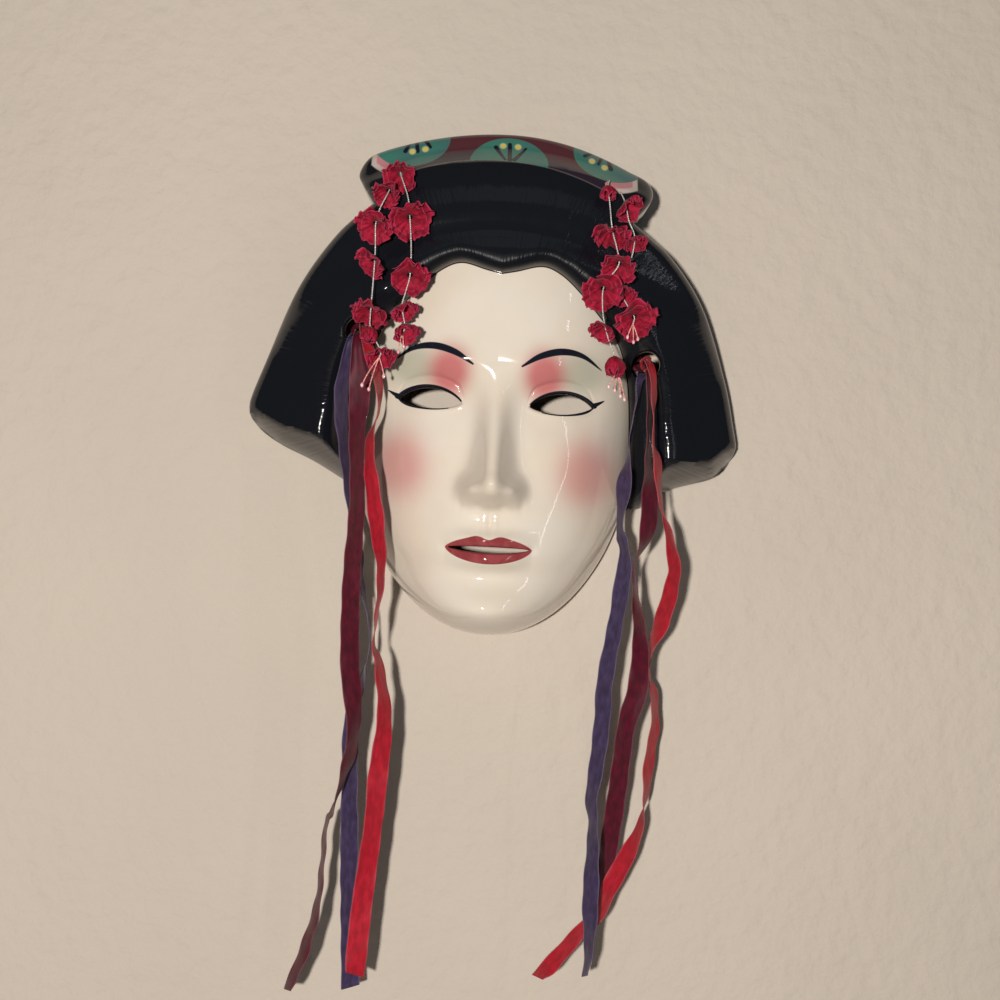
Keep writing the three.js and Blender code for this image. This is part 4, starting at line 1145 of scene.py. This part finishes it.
def hairDepth(x, z, edgeGap, edgePlace):
    # the depth of the hair before its rim is rounded off
    crown, wing, channel, side = hair["crown"], hair["wing"], hair["channel"], np.abs(x)
    fullness = 1 - (side / crown["halfWidth"]) ** crown["sideBend"]
    fullness -= (np.abs(z - crown["centre"]) / crown["halfHeight"]) ** crown["topBend"]
    depth = crown["depth"] * np.sqrt(np.maximum(fullness, 0))
    valley, band = hair["bunValley"], hair["band"]
    depth -= valley["depth"] * bell(z - valley["line"] + x**2 / (2 * valley["radius"]), valley["reach"])
    depth -= band["slope"] * np.maximum(z - band["line"] + x**2 / (2 * band["radius"]), 0)
    depth = softMax(depth, wing["depth"] - wing["fall"] * np.maximum(side - wing["at"], 0), wing["blend"])
    byFace = faceDepth(edgePlace[:, 0], edgePlace[:, 1]) + channel["step"]
    byFace = softMax(byFace, channel["lowest"], channel["lowBlend"])
    depth = softMin(depth, byFace + channel["rise"] * edgeGap, channel["blend"])
    toUnderside = np.minimum(*[nearestOn(line, x, z)[0] for line in undersideLines])
    under = hair["underside"]
    return softMin(depth, under["foot"] + under["slope"] * toUnderside, under["blend"])


def hairFields(x, z):
    # hair before rounding, distance in from the rim and from the hairline: negative outside them
    edgeGap, edgePlace = nearestOn(hairline, x, z)
    toRim = nearestOn(closedOutline, x, z)[0] * np.where(isInside(outlineLoop, x, z), 1, -1)
    inHair = np.where(isInside(faceOpening, x, z), -1, 1)
    return hairDepth(x, z, edgeGap, edgePlace), toRim, edgeGap * inHair


def joinDepths(skin, full, toRim, edgeGap):
    # the hair lies over the face with a round shoulder, and its rim is round as well
    reach = np.maximum(np.minimum(hair["rim"]["round"], hair["rim"]["roundMost"] * full), 0.01)
    rounded = full - reach * (1 - quarterRound(toRim / reach))
    covered = lerp(skin, rounded, quarterRound(edgeGap / hair["shoulder"]))
    return np.where(toRim > 0, np.where(edgeGap > 0, covered, skin), 0)


def combedAround(x, z):
    # the angle and the distance of a place around the point that the hair is combed from
    dx, dz = x - hair["comb"]["centre"][0], z - hair["comb"]["centre"][1]
    return np.arctan2(dx, dz), np.hypot(dx, dz)


def outerDepth(x, z):
    # the finished outside, with the distances in from the rim and from the hairline
    skin = faceDepth(x, z)
    full, toRim, edgeGap = hairFields(x, z)
    # combed strands fan out from the face, and the whole casting is a little uneven
    comb, sway, fade = hair["comb"], hair["comb"]["sway"], hair["comb"]["fade"]
    angle, distance = combedAround(x, z)
    bent = sway["size"] * np.sin(distance / sway["every"] + sway["turns"] * angle)
    strands = np.sin(angle * comb["radius"] / comb["every"] + bent)
    strands *= 0.5 + 0.5 * np.sin(angle * fade["turns"] + distance / fade["every"])
    combed = smoothStep(edgeGap, *comb["fromFace"]) * smoothStep(toRim, *comb["fromRim"])
    depth = joinDepths(skin, full + comb["height"] * strands * combed, toRim, edgeGap)
    some, sway = unevenness, unevenness["sway"]
    uneven = np.sin(x / some["across"] + sway["size"] * np.sin(z / sway["every"]))
    uneven *= some["height"] * np.sin(z / some["up"] + some["shift"])
    depth = depth + uneven * smoothStep(toRim, *some["fromRim"])
    for name, loops in holeLoops.items():
        roll = edgeRoll[name]
        for loop in loops:
            gap = nearestOn(np.vstack([loop, loop[:1]]), x, z)[0]
            gap = np.where(isInside(loop, x, z), 0, gap)
            depth = depth - roll * (1 - quarterRound(gap / roll)) * (toRim > 0)
    return np.where(toRim > 0.01, depth, 0), toRim, edgeGap


# A grid of the smooth fields, to look depths up in quickly for the inside of the shell.
lookup = {"low": (-132, -126), "step": 1.0, "count": (265, 263)}
gridLines = [low + lookup["step"] * np.arange(count) for low, count in zip(lookup["low"], lookup["count"])]
gridX, gridZ = [axis.ravel() for axis in np.meshgrid(*gridLines, indexing="ij")]
lookup["fields"] = [
    field.reshape(lookup["count"]) for field in (faceDepth(gridX, gridZ, False), *hairFields(gridX, gridZ))
]


def quickDepth(x, z):
    # the depth between the four nearest places of the grid
    (i, s), (j, t) = [gridPlace(value, axis) for axis, value in enumerate((x, z))]
    return joinDepths(*[
        (1 - s) * (1 - t) * field[i, j] + s * (1 - t) * field[i + 1, j]
        + (1 - s) * t * field[i, j + 1] + s * t * field[i + 1, j + 1]
        for field in lookup["fields"]
    ])


def gridPlace(value, axis):
    at = np.clip((value - lookup["low"][axis]) / lookup["step"], 0, lookup["count"][axis] - 1.001)
    whole = at.astype(int)
    return whole, at - whole


def innerDepth(x, z):
    # what a ball as wide as the wall leaves under the outer surface
    thick = wall["thickness"]
    depth = quickDepth(x, z) - thick
    for share in wall["shares"]:
        drop = thick * math.sqrt(1 - share * share)
        for angle in fullTurn(wall["around"]):
            aside = thick * share * np.array([math.cos(angle), math.sin(angle)])
            depth = np.minimum(depth, quickDepth(x + aside[0], z + aside[1]) - drop)
    return np.maximum(depth, 0)


def makeRibs():
    # ribs run from a spine on the middle plane out to the outline
    count = len(rightOutline)
    rows = np.concatenate([np.arange(count), np.arange(count - 2, 0, -1)])
    twins = np.where(np.arange(len(rows))[:, None] < count, leftOutline[rows], rightOutline[rows])
    heights = (outlineLoop[:, 1] + twins[:, 1]) / 2
    spine = np.array(spineHeights)
    feet = np.stack([np.zeros(len(rows)), np.interp(heights, spine[:, 0], spine[:, 1])], 1)
    return rows, feet, outlineLoop, np.linalg.norm(outlineLoop - feet, axis=1)


def bisectAlong(feet, ends, isBefore, low, high):
    # how far along each rib a test stops being true
    for _ in range(maskGrid["halvings"]):
        middle = (low + high) / 2
        places = lerp(feet, ends, middle[:, None])
        before = isBefore(places[:, 0], places[:, 1])
        low, high = np.where(before, middle, low), np.where(before, high, middle)
    return low


def columnsBetween(marks, spacings):
    # columns of places from each mark to the next
    spans = zip(marks, marks[1:], spacings)
    return np.concatenate([lerp(low[:, None], high[:, None], spacing) for low, high, spacing in spans], 1)


def evenShares(name):
    return np.linspace(0, 1, maskGrid[name] + 1)


def maskColumns():
    # places across the ribs, outside and inside, as shares of each rib
    rows, feet, ends, length = makeRibs()
    none, whole = np.zeros(len(rows)), np.ones(len(rows))
    jawRow = rows - (len(rightOutline) - 1 - maskGrid["jaw"])
    fromJaw = np.minimum(maskGrid["jawFirst"] + maskGrid["jawMore"] * jawRow, maskGrid["jawMost"])
    atHairline = bisectAlong(feet, ends, lambda x, z: isInside(faceOpening, x, z), none, whole)
    faceEnd = np.where(jawRow >= 0, length - fromJaw, atHairline * length)
    rimWidth, shoulderWidth = [
        np.minimum(most, share * (length - faceEnd))
        for most, share in (maskGrid["rimWidth"], maskGrid["shoulderWidth"])
    ]
    marks = [none, faceEnd, faceEnd + shoulderWidth, length - rimWidth, length]
    spacings = [evenShares("face"), evenShares("shoulder")[1:] ** 2, evenShares("hair")[1:],
                np.sin(evenShares("rim")[1:] * math.pi / 2)]
    outer = columnsBetween(marks, spacings) / length[:, None]
    # the hollow ends a little inside the rim, where the wall has used up the depth
    rim = length.copy()
    for _ in range(maskGrid["rimSteps"]):
        places = lerp(feet, ends, ((rim - 1) / length)[:, None])
        solid = innerDepth(places[:, 0], places[:, 1]) <= 0
        if not solid.any():
            break
        rim[solid] -= 1
    reach = bisectAlong(feet, ends, lambda x, z: innerDepth(x, z) > 0, (rim - 1) / length, rim / length)
    innerFace = np.minimum(faceEnd / length, maskGrid["innerFaceMost"] * reach)
    acrossHair = 1 - (1 - evenShares("innerHair")[1:]) ** maskGrid["innerBend"]
    inner = columnsBetween([none, innerFace, reach], [evenShares("innerFace"), acrossHair])
    return feet, ends, outer, inner


# Areas of the outside whose faces are split once more: [x, z, reach across, reach up].
fineAreas = {
    "once": [(0, -35, 22, 60), (31, 3, 24, 24), (-31, 3, 24, 24), (0, -74, 30, 14), (70.5, 17, 11, 11),
             (-66.5, 26, 11, 11), (0, 116, 72, 13)],
    "twice": [(31, 0, 21, 19), (-31, 0, 21, 19), (0, -74, 25, 10), (70.5, 17, 9, 9), (-66.5, 26, 9, 9),
              (0, 113, 22, 9), (43, 112, 14, 9), (-43, 114, 14, 9)],
}


def makeMaskShell():
    feet, ends, outer, inner = maskColumns()
    # y tells the outside (0), the inside (one level) and the inside's open edge (two levels) apart
    level = 1000.0
    sides = []
    for columns, height in ((outer, 0.0), (inner, level)):
        places = lerp(feet[:, None], ends[:, None], columns[..., None])
        sides.append(np.stack([places[..., 0], np.full(columns.shape, height), places[..., 1]], -1))
    sides[1][:, -1, 1] = 2 * level
    rings = np.concatenate([sides[0], sides[1][:, ::-1]], 1)
    index = np.arange(rings[..., 0].size).reshape(rings.shape[:2])
    after = np.roll(index, -1, axis=0)
    faces = np.stack([index[:, :-1], after[:, :-1], after[:, 1:], index[:, 1:]], -1).reshape(-1, 4)
    shell = makeObject("glazed_mask", rings.reshape(-1, 3), faces)
    bm = bmesh.new()
    bm.from_mesh(shell.data)
    bmesh.ops.remove_doubles(bm, verts=bm.verts, dist=2e-3)
    for areas in fineAreas.values():
        edges = {edge for found in bm.faces if isFine(found, areas) for edge in found.edges}
        bmesh.ops.subdivide_edges(bm, edges=list(edges), cuts=1, use_grid_fill=True)
    places = np.array([vertex.co[:] for vertex in bm.verts])
    isOuter = places[:, 1] < 0.5 * level
    isInner = ~isOuter & (places[:, 1] < 1.5 * level)
    depth = np.zeros(len(places))
    depth[isOuter] = outerDepth(places[isOuter, 0], places[isOuter, 2])[0]
    depth[isInner] = innerDepth(places[isInner, 0], places[isInner, 2])
    for vertex, place in zip(bm.verts, toFrame(places[:, 0], depth, places[:, 2])):
        vertex.co = place
    bmesh.ops.triangulate(bm, faces=bm.faces)
    bmesh.ops.dissolve_degenerate(bm, dist=1e-6, edges=bm.edges)
    bmesh.ops.recalc_face_normals(bm, faces=bm.faces)
    bm.to_mesh(shell.data)
    bm.free()
    return shell


def isFine(found, areas):
    centre = found.calc_center_median()
    return centre.y <= 1 and any(
        abs(centre.x - x) < across and abs(centre.z - z) < up for x, z, across, up in areas
    )


def makePrism(name, loop, far, near=-1.0):
    # an [x, z] outline stretched out from the wall, as a closed solid
    count = len(loop)
    rings = [toFrame(loop[:, 0], np.full(count, depth), loop[:, 1]) for depth in (near, far)]
    faces = ringFaces(2, count)[1]
    around = list(range(count))
    faces += [around[::-1], [count + i for i in around]]
    return makeSolid(name, np.vstack(rings), faces, smooth=False)


def cutWith(shell, tool, operation):
    modifier = shell.modifiers.new("cut", "BOOLEAN")
    modifier.object = tool
    modifier.operation = operation
    modifier.solver = "MANIFOLD"
    keepResult(shell)
    bpy.data.objects.remove(tool)


def hangerLoop():
    # straight at the top, with its two lower corners round
    radius, half, bottom = hanger["cornerRadius"], hanger["halfWidth"], hanger["bottom"]
    points = [[-half, hanger["top"]]]
    for centre, start in ((radius - half, 180), (half - radius, 270)):
        for angle in np.radians(start + np.linspace(0, 90, 9)):
            points.append([centre + radius * math.cos(angle), bottom + radius * (1 + math.sin(angle))])
    return np.array(points + [[half, hanger["top"]]])


# Depths that are past the front of the mask, and past its hanging plate.
beyond = {"mask": 120, "plate": 8}
mask = makeMaskShell()
print("mask shell:", len(mask.data.polygons), "faces")
cutWith(mask, makePrism("plate", hangerLoop(), hanger["thickness"], 0.0), "UNION")
for name, loops in holeLoops.items():
    for loop in loops:
        cutWith(mask, makePrism(name, loop, beyond["mask"]), "DIFFERENCE")
nailHole = circleLoop((0, hanger["holeHeight"]), hanger["holeRadius"])
cutWith(mask, makePrism("nailHole", nailHole, beyond["plate"]), "DIFFERENCE")
print("mask cut:", len(mask.data.polygons), "faces")

# Paint on the outside, as fields in millimetres that the glaze reads: above zero is inside a colour.
# Ovals are x, z, half width and half height, and strokes go from [x, z, half width] to the next.
paint = {
    "band": {"line": 109, "middle": -6, "radius": 111, "halfWidth": 50},
    "ovals": [(0.5, 108.3, 18.5, 14.2), (50, 118, 19, 16), (-47, 121, 19, 16)],
    "ends": {"pink": 3.2, "white": 5.6, "from": 46, "until": (62, 65)},
    "stems": [
        [(-6.1, 117.3, 1.1), (-1.4, 109.7, 0.6)], [(0.5, 119.1, 1.0), (0.8, 109.2, 1.1)],
        [(8.2, 117.3, 0.6), (3.0, 109.9, 1.1)], [(36.5, 115.8, 1.0), (40.4, 118.0, 0.8)],
        [(44.6, 115.8, 0.8), (43.1, 111.8, 0.8)], [(47.8, 115.1, 0.9), (49.1, 109.7, 1.2)],
        [(-47, 119, 0.6), (-49.2, 113.7, 1.1)], [(-44.3, 120, 0.9), (-43.3, 113.7, 1.0)],
        [(-40.5, 120.5, 1.1), (-37.3, 116.1, 0.8)],
    ],
    "buds": [(-2.7, 118.1), (4.4, 117.9), (39.9, 113.1), (46, 110.1), (-45.8, 113.6), (-39.7, 115)],
    "brow": [(11.5, 12.4, 0.5), (20, 17.6, 1.5), (30, 20.4, 1.7), (40, 19.2, 1.2), (49.5, 13.5, 0.3)],
    # liner along the lids: place along the eye, height over the lid's edge, half width
    "upperLiner": [(-14.5, 0.4, 0.5), (-8, 0.5, 0.7), (2, 0.6, 0.9), (11, 0.7, 1.2), (16, 1.2, 1.1),
                   (21, 3.4, 0.3)],
    "lowerLiner": [(-9, -0.2, 0.35), (3, -0.3, 0.6), (12, -0.4, 0.95), (16.5, 0.6, 0.9)],
    # lips: height and bend of both edges, then the bow's depth and reach, the peaks' rise, place and reach
    "lips": {"upper": (6.4, 0.75), "lower": (6.6, 0.6), "halfWidth": 20.5, "bow": (1.5, 3.4),
             "peaks": (0.5, 6, 3.5)},
    # soft washes in the form of the face's forms, the first two in the eye's own places
    "lidPink": (-8, 14, 11, 13, 1),
    "lidGreen": (9, 15, 13, 11, 1),
    "cheek": (45, -36, 17, 18, 1),
    "none": -99.0,
}


def strokeField(points, x, z):
    # how far inside a tapered brush stroke a place lies
    best = np.full(len(x), paint["none"])
    for (ax, az, ar), (bx, bz, br) in zip(points[:-1], points[1:]):
        dx, dz = bx - ax, bz - az
        t = np.clip(((x - ax) * dx + (z - az) * dz) / (dx * dx + dz * dz), 0, 1)
        best = np.maximum(best, lerp(ar, br, t) - np.hypot(x - ax - dx * t, z - az - dz * t))
    return best


def ovalField(oval, x, z):
    dx, dz = x - oval[0], z - oval[1]
    share = np.maximum(np.hypot(dx / oval[2], dz / oval[3]), 1e-6)
    return np.hypot(dx, dz) * (1 / share - 1)


def smoothStroke(points):
    return throughPoints(points, perSpan=6)[0]


def linerField(name, lid, u, w):
    # a stroke along the upper lid, 0, or the lower lid, 1
    points = smoothStroke(paint[name])
    points[:, 1] += almond(points[:, 0])[lid]
    return strokeField(points, u, w)


def lipField(x, z):
    lips, above = paint["lips"], aboveMouth(x, z)
    edges = (lips["upper"], lips["lower"])
    upper, lower = [height * arch(x, lips["halfWidth"], bend) for height, bend in edges]
    rise, peakAt, peakReach = lips["peaks"]
    top = upper - lips["bow"][0] * bell(x, lips["bow"][1]) + rise * bell(np.abs(x) - peakAt, peakReach)
    return np.minimum(top - above, above + lower)


def paintFields(x, z, depth):
    outer, toRim, edgeGap = outerDepth(x, z)
    band, ends, side = paint["band"], paint["ends"], np.abs(x)
    u, w = eyeFrame(x, z)
    overLine = z - band["line"] + (x - band["middle"]) ** 2 / (2 * band["radius"])
    ovals = [ovalField(oval, x, z) for oval in paint["ovals"]]
    outerOvals = np.maximum(ovals[1], ovals[2])
    until = np.where(x > 0, *ends["until"]) - side
    endField = np.minimum(outerOvals, until - ends["white"])
    combAngle, combReach = combedAround(x, z)
    return {
        "buried": outer - depth,
        "hairSide": edgeGap,
        "bandSide": np.minimum(overLine, band["halfWidth"] - side),
        "teal": np.maximum(np.minimum(ovals[0], overLine), np.minimum(outerOvals, until)),
        "endField": np.where(side > ends["from"], endField, paint["none"]),
        "overLine": overLine,
        "toRim": toRim,
        "stems": np.max([strokeField(stem, x, z) for stem in paint["stems"]], axis=0),
        "buds": -np.min([np.hypot(x - atX, z - atZ) for atX, atZ in paint["buds"]], axis=0),
        "brow": strokeField(smoothStroke(paint["brow"]), side, z),
        "liner": np.maximum(linerField("upperLiner", 0, u, w), linerField("lowerLiner", 1, u, w)),
        "lips": lipField(x, z),
        "lidPink": addForm(paint["lidPink"], u, w),
        "lidGreen": addForm(paint["lidGreen"], u, w),
        "cheek": addForm(paint["cheek"], side, z),
        "combAngle": combAngle,
        "combReach": combReach * 0.01,
    }


glaze = {
    "ivory": (0.70, 0.64, 0.56), "ivoryWarm": (0.67, 0.59, 0.49), "rose": (0.50, 0.12, 0.13),
    "black": (0.006, 0.007, 0.010), "hairlineBrown": (0.035, 0.022, 0.016), "ink": (0.008, 0.010, 0.018),
    "lip": (0.31, 0.060, 0.065), "lipDeep": (0.25, 0.040, 0.046),
    "lidGreen": (0.33, 0.36, 0.27), "teal": (0.045, 0.175, 0.135), "tealDeep": (0.055, 0.125, 0.13),
    "plum": (0.085, 0.024, 0.030), "plumDark": (0.022, 0.014, 0.024), "maroon": (0.040, 0.008, 0.010),
    "pink": (0.48, 0.20, 0.22), "white": (0.50, 0.42, 0.38), "yellow": (0.62, 0.47, 0.10),
    "halo": (0.45, 0.48, 0.36), "clay": (0.42, 0.36, 0.28), "bandLipHighlight": (0.10, 0.08, 0.08),
}


def makeGlaze():
    material, tree, shader = newMaterial("glazed ceramic", Specular_IOR_Level=0.5)
    place = objectPlaces(tree)
    cloud, fine = noiseAt(tree, place, 28.0, 3), noiseAt(tree, place, 260.0, 3)

    def byField(name, low, high, least=0.0, most=1.0):
        return ramp(tree, attribute(tree, name), low, high, least, most)

    def paintOver(tone, *coats):
        for name, colour, low, high, most in coats:
            tone = mixColours(tree, byField(name, low, high, 0, most), tone, colour)
        return tone

    # the face, from the skin to the fine lines
    tone = mixColours(tree, ramp(tree, cloud, 0.3, 0.7), glaze["ivory"], glaze["ivoryWarm"])
    lipTone = mixColours(tree, ramp(tree, fine, 0.35, 0.65), glaze["lip"], glaze["lipDeep"])
    tone = paintOver(
        tone, ("cheek", glaze["rose"], 0.03, 1.0, 0.6), ("lidGreen", glaze["lidGreen"], 0.08, 0.9, 0.6),
        ("lidPink", glaze["rose"], 0.06, 0.9, 0.9), ("lips", lipTone, -0.15, 0.25, 1),
        ("brow", glaze["ink"], -0.15, 0.25, 1), ("liner", glaze["ink"], -0.1, 0.15, 1),
    )

    # the hair, and over it the band with a painted highlight along its lower lip, its ovals, stems and buds
    low = mixColours(tree, byField("overLine", 3, 9), glaze["plumDark"], glaze["plum"])
    band = mixColours(tree, byField("toRim", 2.2, 0.6), low, glaze["maroon"])
    # a painted highlight: a paler line along the band's lower lip
    band = mixColours(tree, byField("overLine", 0.9, 0.3), band, glaze["bandLipHighlight"])
    tealTone = mixColours(tree, ramp(tree, cloud, 0.35, 0.65), glaze["teal"], glaze["tealDeep"])
    white, pink = paint["ends"]["white"], paint["ends"]["pink"]
    # a thin brown line along the face's side of the hairline, then the black of the hair over it
    tone = paintOver(
        tone, ("hairSide", glaze["hairlineBrown"], -0.55, -0.2, 1), ("hairSide", glaze["black"], -0.35, 0.1, 1),
        ("bandSide", band, -0.2, 0.2, 1), ("endField", glaze["white"], -white - 0.5, -white + 0.4, 1),
        ("endField", glaze["pink"], -pink - 0.5, -pink + 0.4, 1), ("teal", tealTone, -0.2, 0.2, 1),
        ("stems", glaze["ink"], -0.15, 0.2, 1), ("buds", glaze["halo"], -2.1, -1.3, 0.7),
        ("buds", glaze["yellow"], -1.45, -1.1, 1),
    )

    # bare clay inside the shell and in the cuts
    bare = byField("buried", 1.0, 1.8)
    clay = mixColours(tree, ramp(tree, fine, 0.3, 0.7), glaze["clay"], darker(glaze["clay"], 0.8))
    tree.links.new(mixColours(tree, bare, tone, clay), shader.inputs["Base Color"])

    # the glaze is glossy, but thinner and duller on the hair along the hairline, and the clay is matt
    inHair = byField("hairSide", 0, 2)
    byEdge = product(tree, inHair, byField("hairSide", 9, 6))
    gloss = ramp(tree, byEdge, 0, 1, 0.07, 0.3)
    tree.links.new(ramp(tree, byEdge, 0, 1, 0.5, 0.1), shader.inputs["Specular IOR Level"])
    roughness = maths(tree, "MAXIMUM", gloss, ramp(tree, bare, 0, 1, 0.07, 0.8))
    tree.links.new(roughness, shader.inputs["Roughness"])

    # slow waves in the glaze, and the fine marks of the comb
    combed = {0: attribute(tree, "combAngle"), 1: attribute(tree, "combReach")}
    combed = stretched(tree, outOf(tree, "ShaderNodeCombineXYZ", combed), (70, 3.5, 1))
    offBand = byField("overLine", 0.5, -0.5)
    streaks = product(tree, product(tree, inHair, offBand), noiseAt(tree, combed, 1.0, 4))
    waves = addBump(tree, shader, noiseAt(tree, place, 70.0, 2), 0.25, 0.0004)
    addBump(tree, shader, streaks, 0.6, 0.0005, waves)
    return material


places = vertexArray(mask.data) / mm
for name, values in paintFields(places[:, 0], places[:, 2] + hangingHeight, -places[:, 1]).items():
    setAttribute(mask.data, name, "FLOAT", values)
mask.data.materials.clear()
mask.data.materials.append(makeGlaze())
mask.data.polygons.foreach_set("material_index", np.zeros(len(mask.data.polygons), np.int32))
mask.data.shade_smooth()
mask.data.set_sharp_from_angle(angle=math.radians(38))
finishPiece(mask, "glazed_ceramic", "mask_shell")
print("mask painted")


# The wall that the mask hangs on, a floor far below and soft lights.
def makePanel(name, corners, colour, roughness, seeThrough=False):
    # rough plaster, seen only from its front where it is see-through
    material, tree, shader = newMaterial(name, Roughness=roughness)
    place = objectPlaces(tree)
    paintBetween(tree, shader, noiseAt(tree, place, 5.0, 4), colour, darker(colour, 0.95))
    addBump(tree, shader, noiseAt(tree, place, 90.0, 4), 0.9, 0.0022)
    if seeThrough:
        clear = outOf(tree, "ShaderNodeBsdfTransparent")
        behind = outOf(tree, "ShaderNodeNewGeometry", output="Backfacing")
        both = outOf(tree, "ShaderNodeMixShader", {0: behind, 1: shader.outputs[0], 2: clear})
        tree.links.new(both, tree.nodes["Material Output"].inputs[0])
    panel = makeObject(name, corners, [(0, 1, 2, 3)], smooth=False)
    panel.data.materials.append(material)


room = {"halfWidth": 2, "front": -2.5, "back": 0.0004, "floor": -1, "top": 1.6,
        "wallColour": (0.58, 0.51, 0.44), "floorColour": (0.55, 0.53, 0.49)}
sides, back, floor = (-room["halfWidth"], room["halfWidth"]), room["back"], room["floor"]
backEdge, topEdge = [[(x, back, height) for x in sides] for height in (floor, room["top"])]
frontEdge = [(x, room["front"], floor) for x in sides]
makePanel("wall", [*backEdge, *topEdge[::-1]], room["wallColour"], 0.85, seeThrough=True)
makePanel("floor", [*frontEdge, *backEdge[::-1]], room["floorColour"], 0.7)


def makeLight(name, place, target, size, power, colour):
    data = bpy.data.lights.new(name, "AREA")
    data.shape = "RECTANGLE"
    data.size, data.size_y = size
    data.energy = power
    data.color = colour
    lamp = addToScene(name, data)
    lamp.location = place
    lamp.rotation_euler = (Vector(target) - Vector(place)).to_track_quat("-Z", "Y").to_euler()


makeLight("key", (-0.13, -1.15, -0.17), (0, 0, -0.24), (0.04, 0.04), 13, (1.0, 0.95, 0.88))
makeLight("strip", (1.3, -1.4, 0.0), (0, 0, -0.12), (0.03, 1.4), 1.2, (0.93, 0.96, 1.0))
makeLight("overhead", (0, -1.5, 1.2), (0, 0, -0.1), (1.4, 0.5), 0.3, (0.85, 0.93, 1.0))
world = bpy.data.worlds.new("room")
world.use_nodes = True
background = world.node_tree.nodes["Background"]
background.inputs["Color"].default_value = (0.60, 0.64, 0.70, 1)
background.inputs["Strength"].default_value = 0.09
bpy.context.scene.world = world
bpy.context.scene.view_settings.view_transform = "Standard"
